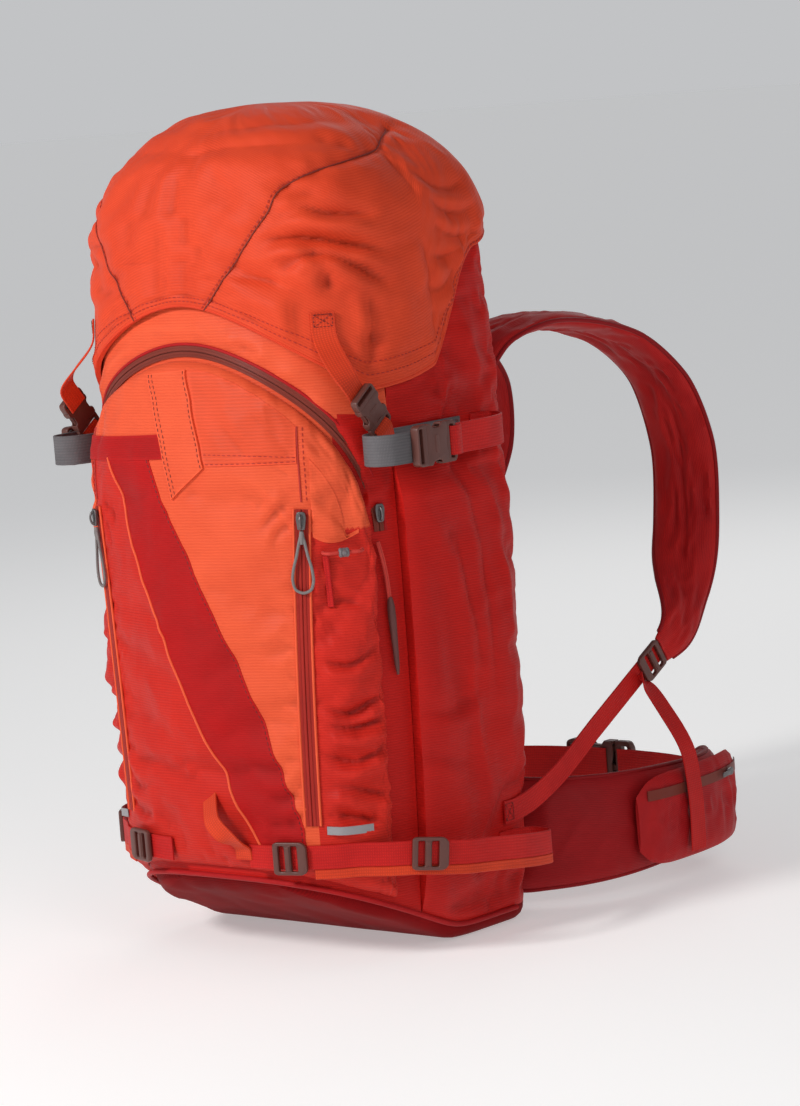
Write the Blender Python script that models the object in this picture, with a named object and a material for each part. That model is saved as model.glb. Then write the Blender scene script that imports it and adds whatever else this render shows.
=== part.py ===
"""Ski backpack as separate parts. Metres, Z up, wearer on +Y, front of the pack on -Y.
The origin is the middle of the flat part of the base."""
import bpy
import bmesh
import math
from mathutils import Vector

# bag shell
BACK_Y = 0.055            # rear wall plane, behind the middle of the flat base
BAG_TOP = 0.580           # upper edge of the bag walls
BASE_HALF = 0.138         # half width at the base, the middle and the top
MID_HALF = 0.1555
TOP_HALF = 0.146
BASE_DEPTH = 0.232        # depth of the bag at the same three heights
MID_DEPTH = 0.2385
TOP_DEPTH = 0.222
BACK_CORNER = 0.030       # radius of the two rear corners
SIDE_FLAT = 0.100         # straight length of each side, from the rear wall
FRONT_POWER = 3.0         # roundness of the two front corners
WALL = 0.004              # wall of coated fabric and lining
GAP = 0.0004              # clearance between neighbouring pieces
LAYER = 0.0009            # clearance between curved layers
SEAM = 3.22               # side seam, as a place round the outline

# base
BASE_T = 0.014
BASE_FLAT = 0.110         # flat length of the base, from the rear wall
BASE_RISE = 0.060         # height that the base gains at the front

# front pocket and zips
POCKET_S = 3.33           # side edge of the pocket, as a place round the outline
POCKET_T = 0.012
POCKET_LIFT = 0.008
ARCH_TOP = 0.502
ARCH_DROP = 0.146
POCKET_KNEE = 0.400       # the pocket face runs straight up to here
ZIP_W = 0.012
ZIP_T = 0.0014
ZIP_TOP_X = 0.116
ZIP_TOP_Z = 0.381
ZIP_LOW_X = 0.104
ZIP_LOW_Z = 0.122
SLIDER_L = 0.015
SLIDER_W = 0.009
SLIDER_T = 0.005
PULL_L = 0.052
PULL_W = 0.015
PULL_T = 0.0026
PULL_BAR = 0.0032

# lid
HINGE_Z = 0.588
LID_TOP = 0.690
LID_SEAT = 0.004          # where the dome starts, above the edge of the bag walls
LID_OUT = 0.0011          # inside of the lid skirt, out from the bag skin
LID_WALL = 0.005
LID_ROUND = 2.1
LID_FRONT_EDGE = 0.547
LID_CORNER_EDGE = 0.470
LID_REAR_EDGE = 0.592
LID_CENTRE = 0.112        # middle of the lid, forward of the rear wall
COLLAR_LOW = 0.560
COLLAR_TOP = 0.606
COLLAR_LEAN = 0.020
COLLAR_T = 0.0016

# back and frame
SHEET_T = 0.0016
SHEET_HALF = 0.104
SHEET_LOW = 0.030
SHEET_TOP = 0.550
STAY_X = 0.062
STAY_W = 0.020
STAY_T = 0.003
PAD_HALF = 0.104
PAD_LOW = 0.120
PAD_TOP = 0.500
PAD_T = 0.020
PAD_EDGE = 0.005
CHANNEL_W = 0.016
CHANNEL_D = 0.009
LUMBAR_HALF = 0.0826
LUMBAR_LOW = 0.012
LUMBAR_TOP = 0.112
LUMBAR_T = 0.024
LUMBAR_EDGE = 0.018

# webbing and buckles
WEB_T = 0.0016
WEB_25 = 0.025
WEB_20 = 0.020
WEB_38 = 0.038

# ski straps
SKI_OUT = 0.193           # outer run of the ski straps, from the middle plane
SKI_Z = 0.425
LOOP_Z = 0.096
LOOP_DROP = 0.024

# harness
SHOULDER_W = 0.066
SHOULDER_END_W = 0.034
SHOULDER_T = 0.014
HIP_CENTRE = 0.150        # middle of the waist, behind the rear wall
HIP_HALF = 0.172
HIP_DEPTH = 0.145
HIP_POWER = 2.6
HIP_Z = 0.062
HIP_H = 0.100
HIP_END_H = 0.066
HIP_T = 0.018
HIP_ROOT = -58.0          # wing ends, degrees round the waist
HIP_TIP = 50.0
POUCH_FROM = -18.0
POUCH_TO = 34.0
POUCH_T = 0.015
POUCH_H = 0.080
HAUL_X = 0.045
HAUL_Z = 0.556
HAUL_DROP = 0.048
HAUL_W = 0.015
HAUL_T = 0.0026

RED = (0.560, 0.026, 0.018)
ORANGE = (0.750, 0.075, 0.030)
DARK_RED = (0.300, 0.016, 0.018)
BROWN = (0.110, 0.035, 0.026)
GREY = (0.150, 0.150, 0.160)
BLACK = (0.030, 0.030, 0.034)


def at(x, y, z):
    """A point with y counted from the rear wall."""
    return Vector((x, BACK_Y + y, z))


def mirrored(point, side):
    return Vector((side * point.x, point.y, point.z))


def through(low, middle, high, t):
    """Smooth value through three heights."""
    return low * (1 - t) * (1 - 2 * t) + 4 * middle * t * (1 - t) + high * t * (2 * t - 1)


def sizes(z):
    t = z / BAG_TOP
    half = through(BASE_HALF, MID_HALF, TOP_HALF, t)
    depth = through(BASE_DEPTH, MID_DEPTH, TOP_DEPTH, t)
    return half, depth


def oval(angle, across, along, power):
    """Point of a rounded square at a polar angle."""
    c = math.cos(angle)
    s = math.sin(angle)
    r = ((abs(c) / across) ** power + (abs(s) / along) ** power) ** (-1 / power)
    return r * c, r * s


def skin(s, z, out=0.0):
    """Bag surface: s is 0 at the middle of the rear wall, 2 to 3 on the flat right side,
    4 at the middle of the front, and then back by the left side to 8."""
    half, depth = sizes(z)
    side = 1.0
    if s < 0:
        s = -s
        side = -1.0
    if s > 4:
        s = 8 - s
        side = -1.0
    if s < 1:
        x = (half - BACK_CORNER) * s
        y = out
    elif s < 2:
        turn = (s - 1) * math.pi / 2
        corner = BACK_CORNER + out
        x = half - BACK_CORNER + corner * math.sin(turn)
        y = -BACK_CORNER + corner * math.cos(turn)
    elif s < 3:
        x = half + out
        y = -BACK_CORNER - (SIDE_FLAT - BACK_CORNER) * (s - 2)
    else:
        x, reach = oval((s - 3) * math.pi / 2, half + out, depth - SIDE_FLAT + out, FRONT_POWER)
        y = -SIDE_FLAT - reach
    return at(side * x, y, z)


def place_at_x(x, z, out=0.0):
    """Place round the front of the outline where the surface has this x."""
    half, depth = sizes(z)
    inside = 1 - (x / (half + out)) ** FRONT_POWER
    reach = (depth - SIDE_FLAT + out) * inside ** (1 / FRONT_POWER)
    return 3 + math.atan2(reach, x) / (math.pi / 2)


def base_height(y):
    """Underside of the base; y counted from the rear wall."""
    return max(0.0, -y - BASE_FLAT) * BASE_RISE / (BASE_DEPTH - BASE_FLAT)


def rim(s):
    """Lower edge of the bag walls, just above the base."""
    return base_height(skin(s, BASE_T).y - BACK_Y) + BASE_T + GAP


def arch(q):
    """Height of the pocket top: q is 0 in the middle and 1 at the side edge."""
    return ARCH_TOP - ARCH_DROP * (1 - math.sqrt(max(0.0, 1 - q * q)))


def spread(first, last, count):
    return [first + (last - first) * i / count for i in range(count + 1)]


def material(name, colour, rough, metal=0.0):
    made = bpy.data.materials.new(name)
    made.use_nodes = True
    shader = made.node_tree.nodes["Principled BSDF"]
    shader.inputs["Base Color"].default_value = (*colour, 1)
    shader.inputs["Roughness"].default_value = rough
    shader.inputs["Metallic"].default_value = metal
    return made


def keep(name, body, origin, colour, rough=0.8, metal=0.0, smooth=False, parent=None):
    """One named object, its origin where the piece is fixed or turns."""
    bmesh.ops.remove_doubles(body, verts=body.verts, dist=1e-6)
    bmesh.ops.triangulate(body, faces=body.faces)
    bmesh.ops.recalc_face_normals(body, faces=body.faces)
    bmesh.ops.translate(body, verts=body.verts, vec=-origin)
    mesh = bpy.data.meshes.new(name)
    body.to_mesh(mesh)
    body.free()
    for face in mesh.polygons:
        face.use_smooth = smooth
    made = bpy.data.objects.new(name, mesh)
    made.data.materials.append(material(name + "_material", colour, rough, metal))
    bpy.context.collection.objects.link(made)
    made.parent = parent or ASSEMBLY
    made.location = origin - made.parent.location
    return made


def slab(outer, inner):
    """Closed sheet between two grids of points of the same size."""
    body = bmesh.new()
    a = [[body.verts.new(p) for p in row] for row in outer]
    b = [[body.verts.new(p) for p in row] for row in inner]
    last_i = len(a) - 1
    last_j = len(a[0]) - 1
    for i in range(last_i):
        for j in range(last_j):
            body.faces.new((a[i][j], a[i + 1][j], a[i + 1][j + 1], a[i][j + 1]))
            body.faces.new((b[i][j], b[i][j + 1], b[i + 1][j + 1], b[i + 1][j]))
    for i in range(last_i):
        for j in (0, last_j):
            body.faces.new((a[i][j], b[i][j], b[i + 1][j], a[i + 1][j]))
    for j in range(last_j):
        for i in (0, last_i):
            body.faces.new((a[i][j], a[i][j + 1], b[i][j + 1], b[i][j]))
    return body


def ring(outer, inner, closed_top):
    """Closed sheet between two grids that run right round; the top may end in a cap."""
    body = bmesh.new()
    a = [[body.verts.new(p) for p in row] for row in outer]
    b = [[body.verts.new(p) for p in row] for row in inner]
    count = len(a)
    rows = len(a[0])
    for i in range(count):
        n = (i + 1) % count
        for j in range(rows - 1):
            body.faces.new((a[i][j], a[n][j], a[n][j + 1], a[i][j + 1]))
            body.faces.new((b[i][j], b[i][j + 1], b[n][j + 1], b[n][j]))
        body.faces.new((a[i][0], b[i][0], b[n][0], a[n][0]))
        if not closed_top:
            body.faces.new((a[i][-1], a[n][-1], b[n][-1], b[i][-1]))
    if closed_top:
        for grid in (a, b):
            middle = sum((row[-1].co for row in grid), Vector()) / count
            peak = body.verts.new(middle)
            for i in range(count):
                body.faces.new((grid[i][-1], grid[(i + 1) % count][-1], peak))
    return body


def section_loft(sections):
    """Closed body through a row of sections with the same number of points."""
    body = bmesh.new()
    rows = [[body.verts.new(p) for p in section] for section in sections]
    count = len(rows[0])
    for i in range(len(rows) - 1):
        for j in range(count):
            n = (j + 1) % count
            body.faces.new((rows[i][j], rows[i][n], rows[i + 1][n], rows[i + 1][j]))
    for row in (rows[0], rows[-1]):
        middle = body.verts.new(sum((v.co for v in row), Vector()) / count)
        for j in range(count):
            body.faces.new((row[j], row[(j + 1) % count], middle))
    return body


def tangents(points):
    found = []
    for i in range(len(points)):
        ahead = points[min(i + 1, len(points) - 1)]
        behind = points[max(i - 1, 0)]
        found.append((ahead - behind).normalized())
    return found


def ribbon(points, sides, width, thick=WEB_T):
    """Webbing along a line; sides are the directions of its width."""
    sections = []
    for point, along, side in zip(points, tangents(points), sides):
        across = (side - along * side.dot(along)).normalized()
        normal = along.cross(across)
        w = across * width / 2
        t = normal * thick / 2
        sections.append([point - w - t, point + w - t, point + w + t, point - w + t])
    body = bmesh.new()
    rows = [[body.verts.new(p) for p in section] for section in sections]
    for i in range(len(rows) - 1):
        for j in range(4):
            n = (j + 1) % 4
            body.faces.new((rows[i][j], rows[i][n], rows[i + 1][n], rows[i + 1][j]))
    body.faces.new(rows[0])
    body.faces.new(rows[-1])
    return body


def cushion(points, sides, widths, thick, groove=0.0, flat=1.0):
    """Crowned pad along a line, drawn in at its edges, with a stitched groove down its middle."""
    turns = [math.radians(a) for a in (0, 20, 45, 70, 90, 110, 135, 160, 180, 215, 250, 290, 325)]
    sections = []
    for point, along, side, width, k in zip(points, tangents(points), sides, widths, thick):
        across = (side - along * side.dot(along)).normalized()
        normal = along.cross(across)
        section = []
        for turn in turns:
            u, w = oval(turn, width / 2, k / 2, 2.6)
            if abs(math.cos(turn)) < 0.1 and math.sin(turn) > 0:
                w -= groove * min(1.0, k / max(thick))
            if math.sin(turn) < 0:
                w *= flat
            section.append(point + across * u + normal * w)
        sections.append(section)
    return section_loft(sections)


def blocks(frame, us, vs, ws, filled):
    """Body of joined boxes between the given cuts, in a frame of (origin, u, v, w)."""
    origin, u, v, w = frame
    body = bmesh.new()
    corner = {}
    around = ((0, 0), (1, 0), (1, 1), (0, 1))

    def vert(i, j, k):
        if (i, j, k) not in corner:
            corner[i, j, k] = body.verts.new(origin + u * us[i] + v * vs[j] + w * ws[k])
        return corner[i, j, k]

    def solid(i, j, k):
        inside = 0 <= i < len(us) - 1 and 0 <= j < len(vs) - 1 and 0 <= k < len(ws) - 1
        return inside and filled(i, j, k)

    for i in range(len(us) - 1):
        for j in range(len(vs) - 1):
            for k in range(len(ws) - 1):
                if not solid(i, j, k):
                    continue
                for di in (0, 1):
                    if not solid(i + 2 * di - 1, j, k):
                        body.faces.new([vert(i + di, j + a, k + b) for a, b in around])
                    if not solid(i, j + 2 * di - 1, k):
                        body.faces.new([vert(i + a, j + di, k + b) for a, b in around])
                    if not solid(i, j, k + 2 * di - 1):
                        body.faces.new([vert(i + a, j + b, k + di) for a, b in around])
    return body


def symmetric(*steps):
    """Cuts mirrored about the middle."""
    return [-s for s in steps] + [s for s in reversed(steps)]


def socket(frame, web):
    """Buckle socket: u points out of its mouth, which is at u = 0."""
    length = 1.45 * web
    depth = 0.96 * web
    half = 0.67 * web
    wall = 0.085 * web
    thick = 0.17 * web
    skin_t = 0.055 * web
    us = [-length, -length + 0.10 * web, -length + 0.26 * web, -depth, -0.78 * depth, -0.30 * depth, 0.0]
    vs = symmetric(half, half - wall)
    ws = [-thick, -thick + skin_t, thick - skin_t, thick]

    def filled(i, j, k):
        if i == 1 and j == 1:
            return False
        if i >= 3 and j == 1 and k == 1:
            return False
        if i == 4 and k == 1:
            return False
        return True

    return blocks(frame, us, vs, ws, filled)


def tongue(frame, web):
    """Buckle tongue: two arms and a guide lie inside the socket, the base with its slot outside."""
    depth = 0.96 * web
    room = 0.67 * web - 0.085 * web
    play = 0.034 * web
    arm = 0.16 * web
    thick = 0.17 * web - 0.055 * web - 0.016 * web
    outer = room - play
    us = [-0.86 * depth, 0.02 * web, 0.20 * web, 0.40 * web, 0.54 * web]
    vs = symmetric(0.67 * web, outer, outer - arm, 0.08 * web)
    ws = [-thick, thick]

    def filled(i, j, k):
        if i == 0:
            return j in (1, 3, 5)
        if i == 2:
            return j in (0, 6)
        return True

    return blocks(frame, us, vs, ws, filled)


LADDER_T = 0.22           # thickness of a strap plate, as a share of its webbing


def ladder_pin(frame, web):
    """Outer edge of a strap plate's hinged bar, where it tilts."""
    return frame[0] + frame[3] * LADDER_T * web


def ladder(frame, web):
    """Strap plate with two slots; u runs along the webbing from its hinged bar."""
    us = [0.0, 0.24 * web, 0.52 * web, 0.80 * web, 1.10 * web, 1.50 * web]
    vs = [-0.68 * web, -0.54 * web, 0.54 * web, 0.68 * web]
    ws = [0.0, LADDER_T * web]
    return blocks(frame, us, vs, ws, lambda i, j, k: not (j == 1 and i in (1, 3)))


def panel(name, columns, low, high, rows, colour):
    """Bag wall over a row of places round the outline."""
    outer = []
    inner = []
    for s in columns:
        heights = spread(low(s), high(s), rows)
        outer.append([skin(s, z) for z in heights])
        inner.append([skin(s, z, -WALL) for z in heights])
    keep(name, slab(outer, inner), at(0, 0, 0), colour, smooth=True)


def beside(s, distance):
    """Place that lies this far along the outline."""
    step = 0.01
    speed = (skin(s + step, SKI_Z) - skin(s, SKI_Z)).length / step
    return s + distance / speed


for old in list(bpy.data.objects):
    bpy.data.objects.remove(old, do_unlink=True)

ASSEMBLY = bpy.data.objects.new("ski_backpack", None)
bpy.context.collection.objects.link(ASSEMBLY)
LID_HINGE = bpy.data.objects.new("lid_hinge", None)
LID_HINGE.parent = ASSEMBLY
LID_HINGE.location = at(0, LID_OUT + LID_WALL / 2, HINGE_Z)
bpy.context.collection.objects.link(LID_HINGE)
X = Vector((1, 0, 0))
Y = Vector((0, 1, 0))
Z = Vector((0, 0, 1))
SIDES = (("right", 1), ("left", -1))

# bag walls
def top_edge(s):
    return BAG_TOP


side_columns = spread(beside(1, GAP), 2, 5) + [2.5] + spread(3, SEAM, 5)
panel("back_panel", spread(-1, 1, 8), rim, top_edge, 6, RED)
panel("front_panel", spread(beside(SEAM, GAP), 8 - beside(SEAM, GAP), 30), rim, top_edge, 8, ORANGE)
panel("side_panel_right", side_columns, rim, top_edge, 8, RED)
panel("side_panel_left", [8 - s for s in reversed(side_columns)], rim, top_edge, 8, RED)

base_rows = []
for s in spread(1, 2, 3) + [2.5] + spread(3, SEAM, 5) + spread(SEAM, 3.92, 12)[1:]:
    edge = skin(s, BASE_T)
    low = base_height(edge.y - BACK_Y)
    half = edge.x
    base_rows.append([Vector((x, edge.y, low + t)) for x, t in
                      ((-half, 0), (half, 0), (half, BASE_T), (-half, BASE_T))])
body = bmesh.new()
made = [[body.verts.new(p) for p in row] for row in base_rows]
for a, b in zip(made, made[1:]):
    for j in range(4):
        n = (j + 1) % 4
        body.faces.new((a[j], a[n], b[n], b[j]))
body.faces.new(made[0])
body.faces.new(made[-1])
keep("base_panel", body, Vector((0, 0, 0)), DARK_RED)

# frame: sheet and two stays in front of the rear wall
def plate(name, x, half, y, thick, low, high, colour, rough, metal):
    frame = (at(x, y, 0), X, Y, Z)
    body = blocks(frame, [-half, half], [-thick, 0], [low, high], lambda i, j, k: True)
    keep(name, body, at(x, y, low), colour, rough, metal)


sheet_y = -WALL - GAP
plate("frame_sheet", 0, SHEET_HALF, sheet_y, SHEET_T, SHEET_LOW, SHEET_TOP, BLACK, 0.5, 0)
for name, side in SIDES:
    plate("frame_stay_" + name, side * STAY_X, STAY_W / 2, sheet_y - SHEET_T - GAP, STAY_T,
          SHEET_LOW, SHEET_TOP, (0.6, 0.6, 0.62), 0.35, 1)


# back cushions, crowned, drawn in at the edges, with sunk channels
def back_cushion(name, half, low, high, thick, edge, cuts, rows, colour):
    flat = []
    face = []
    columns = sorted(set([0.0, CHANNEL_W / 2, CHANNEL_W, half * 0.45, half * 0.8, half * 0.94, half]))
    columns = [-c for c in reversed(columns[1:])] + columns
    for x in columns:
        flat.append([at(x, GAP, z) for z in rows])
        line = []
        for z in rows:
            across = min(1.0, (1 - abs(x) / half) * 5)
            up = min(1.0, min(z - low, high - z) / 0.03)
            rise = math.sin(min(across, up) * math.pi / 2)
            t = edge + (thick - edge) * rise
            sunk = max([1 - abs(x) / CHANNEL_W] + [1 - abs(z - cut) / CHANNEL_W for cut in cuts])
            if rise > 0.3:
                t -= CHANNEL_D * max(0.0, sunk)
            line.append(at(x, GAP + t, z))
        face.append(line)
    keep(name, slab(face, flat), at(0, 0, low), colour, 0.9, smooth=True)


pad_cuts = [PAD_LOW + (PAD_TOP - PAD_LOW) * k for k in (0.34, 0.67)]
pad_rows = sorted(spread(PAD_LOW, PAD_TOP, 9) + [PAD_LOW + 0.012, PAD_TOP - 0.012] +
                  [cut + d for cut in pad_cuts for d in (-CHANNEL_W, 0, CHANNEL_W)])
back_cushion("back_pad", PAD_HALF, PAD_LOW, PAD_TOP, PAD_T, PAD_EDGE, pad_cuts, pad_rows, BLACK)
lumbar_rows = [LUMBAR_LOW, LUMBAR_LOW + 0.012] + spread(LUMBAR_LOW + 0.030, LUMBAR_TOP - 0.030, 2)
lumbar_rows += [LUMBAR_TOP - 0.012, LUMBAR_TOP]
back_cushion("lumbar_pad", LUMBAR_HALF, LUMBAR_LOW, LUMBAR_TOP, LUMBAR_T, LUMBAR_EDGE, [], lumbar_rows,
             BLACK)


# front pocket: a straight face over the bag front, cut to an arch at the top
def pocket_low(s):
    return rim(s) + POCKET_LIFT


def pocket_face(s, z, out=0.0):
    """Outer face of the pocket, straight from its foot to the knee."""
    low = pocket_low(s)
    knee = POCKET_KNEE
    if z > knee:
        return skin(s, z, POCKET_T + out)
    t = (z - low) / (knee - low)
    return skin(s, low, POCKET_T + out).lerp(skin(s, knee, POCKET_T + out), t)


outer = []
inner = []
for turn in spread(-90, 90, 32):
    q = math.sin(math.radians(turn))
    s = 4 + q * (4 - POCKET_S)
    low = pocket_low(s)
    high = arch(q)
    heights = spread(low, min(POCKET_KNEE, high), 5)
    heights += spread(min(POCKET_KNEE, high), high, 3)[1:] if high > POCKET_KNEE + 0.004 else []
    while len(heights) < 9:
        heights.insert(5, heights[4] + (heights[5] - heights[4]) * 0.5)
    outer.append([pocket_face(s, z) for z in heights])
    inner.append([skin(s, z, LAYER) for z in heights])
keep("front_pocket", slab(outer, inner), at(0, -MID_DEPTH, BASE_RISE), ORANGE, smooth=True)


def facing(surface, s, z):
    """Outward direction of a surface."""
    around = surface(s + 0.01, z) - surface(s - 0.01, z)
    up = surface(s, z + 0.004) - surface(s, z - 0.004)
    normal = around.cross(up).normalized()
    if normal.dot(surface(s, z) - at(0, -SIDE_FLAT, z)) < 0:
        normal = -normal
    return normal


def lifted(surface, s, z, lift):
    return surface(s, z) + facing(surface, s, z) * lift


def on_surface(surface, path, lift, width, thick):
    """Tape laid on a surface along a row of (place, height) pairs."""
    points = [lifted(surface, s, z, lift + thick / 2) for s, z in path]
    sides = [facing(surface, s, z).cross(along) for (s, z), along in zip(path, tangents(points))]
    return ribbon(points, sides, width, thick)


# arch zip, just outside the pocket edge
ARCH_AWAY = 0.008
arch_path = []
for turn in spread(-90, 90, 40):
    q = math.sin(math.radians(turn))
    c = math.cos(math.radians(turn))
    s = 4 + q * (4 - POCKET_S)
    aside = ARCH_AWAY * q / 0.15 * 0.64
    arch_path.append((s + aside, arch(q) + ARCH_AWAY * c))
body = on_surface(skin, arch_path, LAYER, ZIP_W * 0.75, ZIP_T)
keep("arch_zip", body, at(0, -TOP_DEPTH, ARCH_TOP), BROWN)

# slider of the arch zip, on the upright end of the tape
end_s, end_z = arch_path[0]
seat = lifted(skin, end_s, end_z + SLIDER_L, 2 * LAYER + ZIP_T)
normal = facing(skin, end_s, end_z + SLIDER_L)
frame = (seat, -Z, normal.cross(Z).normalized(), (normal - Z * normal.z).normalized())
body = blocks(frame, [-SLIDER_L / 2, SLIDER_L / 2], [-SLIDER_W / 2, SLIDER_W / 2], [0, SLIDER_T],
              lambda i, j, k: True)
keep("arch_slider", body, seat, GREY, 0.4, 0.6)

# two upright zips with sliders and loop pulls
for name, side in SIDES:
    path = []
    for t in spread(0, 1, 10):
        x = ZIP_TOP_X + (ZIP_LOW_X - ZIP_TOP_X) * t
        z = ZIP_TOP_Z + (ZIP_LOW_Z - ZIP_TOP_Z) * t
        s = place_at_x(x, z, POCKET_T)
        path.append((s if side > 0 else 8 - s, z))
    keep("front_zip_" + name, on_surface(pocket_face, path, LAYER, ZIP_W, ZIP_T),
         pocket_face(path[0][0], path[0][1]), BROWN)
    top = lifted(pocket_face, *path[0], ZIP_T + 2 * LAYER)
    foot = lifted(pocket_face, *path[-1], ZIP_T + 2 * LAYER)
    down = (foot - top).normalized()
    normal = facing(pocket_face, *path[4])
    across = down.cross(normal).normalized()
    normal = across.cross(down).normalized()
    if normal.y > 0:
        normal = -normal
    seat = top + down * SLIDER_L * 0.6
    body = blocks((seat, down, across, normal), [-SLIDER_L / 2, SLIDER_L / 2], [-SLIDER_W / 2, SLIDER_W / 2],
                  [0, SLIDER_T], lambda i, j, k: True)
    keep("zip_slider_" + name, body, seat, GREY, 0.4, 0.6)
    pin = seat + down * (SLIDER_L / 2 + GAP) + normal * (SLIDER_T * 0.5)
    us = [0.0, PULL_BAR, PULL_L - 2.4 * PULL_BAR, PULL_L]
    vs = [-PULL_W / 2, -PULL_W / 2 + PULL_BAR, PULL_W / 2 - PULL_BAR, PULL_W / 2]
    body = blocks((pin, down, across, normal), us, vs, [-PULL_T, 0.0],
                  lambda i, j, k: not (i == 1 and j == 1))
    keep("zip_pull_" + name, body, pin, GREY, 0.5)


# lid: skirt and dome in one shell
def lid_edge(s):
    """Lower edge of the lid: high at the rear, lowest at the front corners, raised in front."""
    s = min(s, 8 - s)
    if s < 2:
        return LID_REAR_EDGE - 0.006 * s / 2
    if s < 3.3:
        t = (s - 2) / 1.3
        return LID_REAR_EDGE - 0.006 + (LID_CORNER_EDGE - LID_REAR_EDGE + 0.006) * t * t * (3 - 2 * t)
    t = (s - 3.3) / 0.7
    return LID_CORNER_EDGE + (LID_FRONT_EDGE - LID_CORNER_EDGE) * math.sin(t * math.pi / 2)


def lid_point(s, row, out, top):
    """Rows 0 to 2 are the skirt, rows above follow the dome."""
    low = lid_edge(s)
    shoulder = max(BAG_TOP, low) + LID_SEAT
    if row <= 2:
        return skin(s, low + (shoulder - low) * row / 2, out)
    turn = math.radians((row - 2) * 14)
    rim_point = skin(s, shoulder, out)
    middle = at(0, -LID_CENTRE, shoulder)
    flat = middle.lerp(rim_point, math.cos(turn) ** (2 / LID_ROUND))
    flat.z = shoulder + (top - shoulder) * math.sin(turn) ** (2 / LID_ROUND)
    return flat


places = spread(0, 1, 3)[:-1] + spread(1, 2, 3)[:-1] + spread(2, 3, 4)[:-1] + spread(3, 4, 14)
places += [8 - s for s in reversed(places[1:-1])]
outer = [[lid_point(s, r, LID_OUT + LID_WALL, LID_TOP) for r in range(8)] for s in places]
inner = [[lid_point(s, r, LID_OUT, LID_TOP - LID_WALL) for r in range(8)] for s in places]
keep("lid", ring(outer, inner, True), LID_HINGE.location.copy(), ORANGE, smooth=True, parent=LID_HINGE)

# collar inside the bag mouth
outer = []
inner = []
for s in places:
    levels = ((COLLAR_LOW, 0.0), (BAG_TOP, 0.3), (COLLAR_TOP, 1.0))
    outer.append([skin(s, z, -WALL - LAYER - COLLAR_LEAN * k) for z, k in levels])
    inner.append([skin(s, z, -WALL - LAYER - COLLAR_LEAN * k - COLLAR_T) for z, k in levels])
keep("collar", ring(outer, inner, False), at(0, 0, COLLAR_LOW), DARK_RED, smooth=True)

# lid straps: the buckle lies on the tangent of the lid's own swing, so that it parts cleanly
MOUTH = at(0, -0.186, 0.448)
BUCKLE_PLANE = 0.1655
LID_STRAP_S = 3.42
LID_STRAP_Z = (0.520, 0.536)
swing = MOUTH - LID_HINGE.location
swing.x = 0
release = Vector((0, -swing.z, swing.y)).normalized()
for name, side in SIDES:
    out = X * side
    mouth = Vector((side * BUCKLE_PLANE, MOUTH.y, MOUTH.z))
    frame = (mouth, release, out.cross(release), out)
    keep("lid_socket_" + name, socket(frame, WEB_20), mouth.copy(), BROWN, 0.5, parent=LID_HINGE)
    keep("lid_tongue_" + name, tongue(frame, WEB_20), mouth.copy(), BROWN, 0.5)
    under = mouth - out * (0.17 * WEB_20 + GAP + WEB_T / 2)
    root_s = LID_STRAP_S if side > 0 else 8 - LID_STRAP_S
    lift = LID_OUT + LID_WALL + GAP + WEB_T / 2
    roots = [skin(root_s, z, lift) for z in LID_STRAP_Z]
    around = (skin(root_s + 0.02, LID_STRAP_Z[0]) - skin(root_s - 0.02, LID_STRAP_Z[0])).normalized()
    across = out.cross(release)
    if around.dot(across) < 0:
        around = -around
    line = [under - release * k * WEB_20 for k in (0.9, 1.45, 1.8)] + roots
    widths = [across] * 3 + [around] * 2
    keep("lid_strap_" + name, ribbon(line, widths, WEB_20), roots[0], ORANGE, parent=LID_HINGE)


def web_path(points, side):
    return [mirrored(p, side) for p in points]


# upper ski straps
side_x = sizes(SKI_Z)[0] + GAP + WEB_T / 2
for name, side in SIDES:
    out = X * side
    front = [at(side_x, y, SKI_Z) for y in (-0.072, SIDE_FLAT * -1.0)]
    front += [at(side_x + dx, y, SKI_Z) for dx, y in ((0.001, -0.140), (0.0015, -0.165), (0.003, -0.190),
                                                    (0.008, -0.202), (0.017, -0.208))]
    front += [at(SKI_OUT - dx, y, SKI_Z) for dx, y in ((0.010, -0.207), (0.002, -0.199), (0, -0.186),
                                                       (0, -0.150))]
    line = web_path(front, side)
    keep("ski_strap_" + name, ribbon(line, [Z] * len(line), WEB_25), line[0], GREY)
    mouth = at(0, -0.144, SKI_Z) + X * (SKI_OUT + WEB_T / 2 + GAP + 0.17 * WEB_25)
    mouth = mirrored(mouth, side)
    frame = (mouth, Y, Z, out)
    keep("ski_socket_" + name, socket(frame, WEB_25), mouth, BROWN, 0.5)
    keep("ski_tongue_" + name, tongue(frame, WEB_25), mouth.copy(), BROWN, 0.5)
    rear = [at(SKI_OUT, y, SKI_Z) for y in (-0.138, -0.110, -0.080)]
    rear += [at(SKI_OUT - 0.004, -0.062, SKI_Z), at(SKI_OUT - 0.014, -0.046, SKI_Z),
             at(SKI_OUT - 0.026, -0.038, SKI_Z), at(side_x + 0.004, -0.0365, SKI_Z)]
    rear += [at(side_x, y, SKI_Z) for y in (-0.042, -0.058)]
    line = web_path(rear, side)
    keep("ski_web_" + name, ribbon(line, [Z] * len(line), WEB_25), line[-1], RED)

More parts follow.
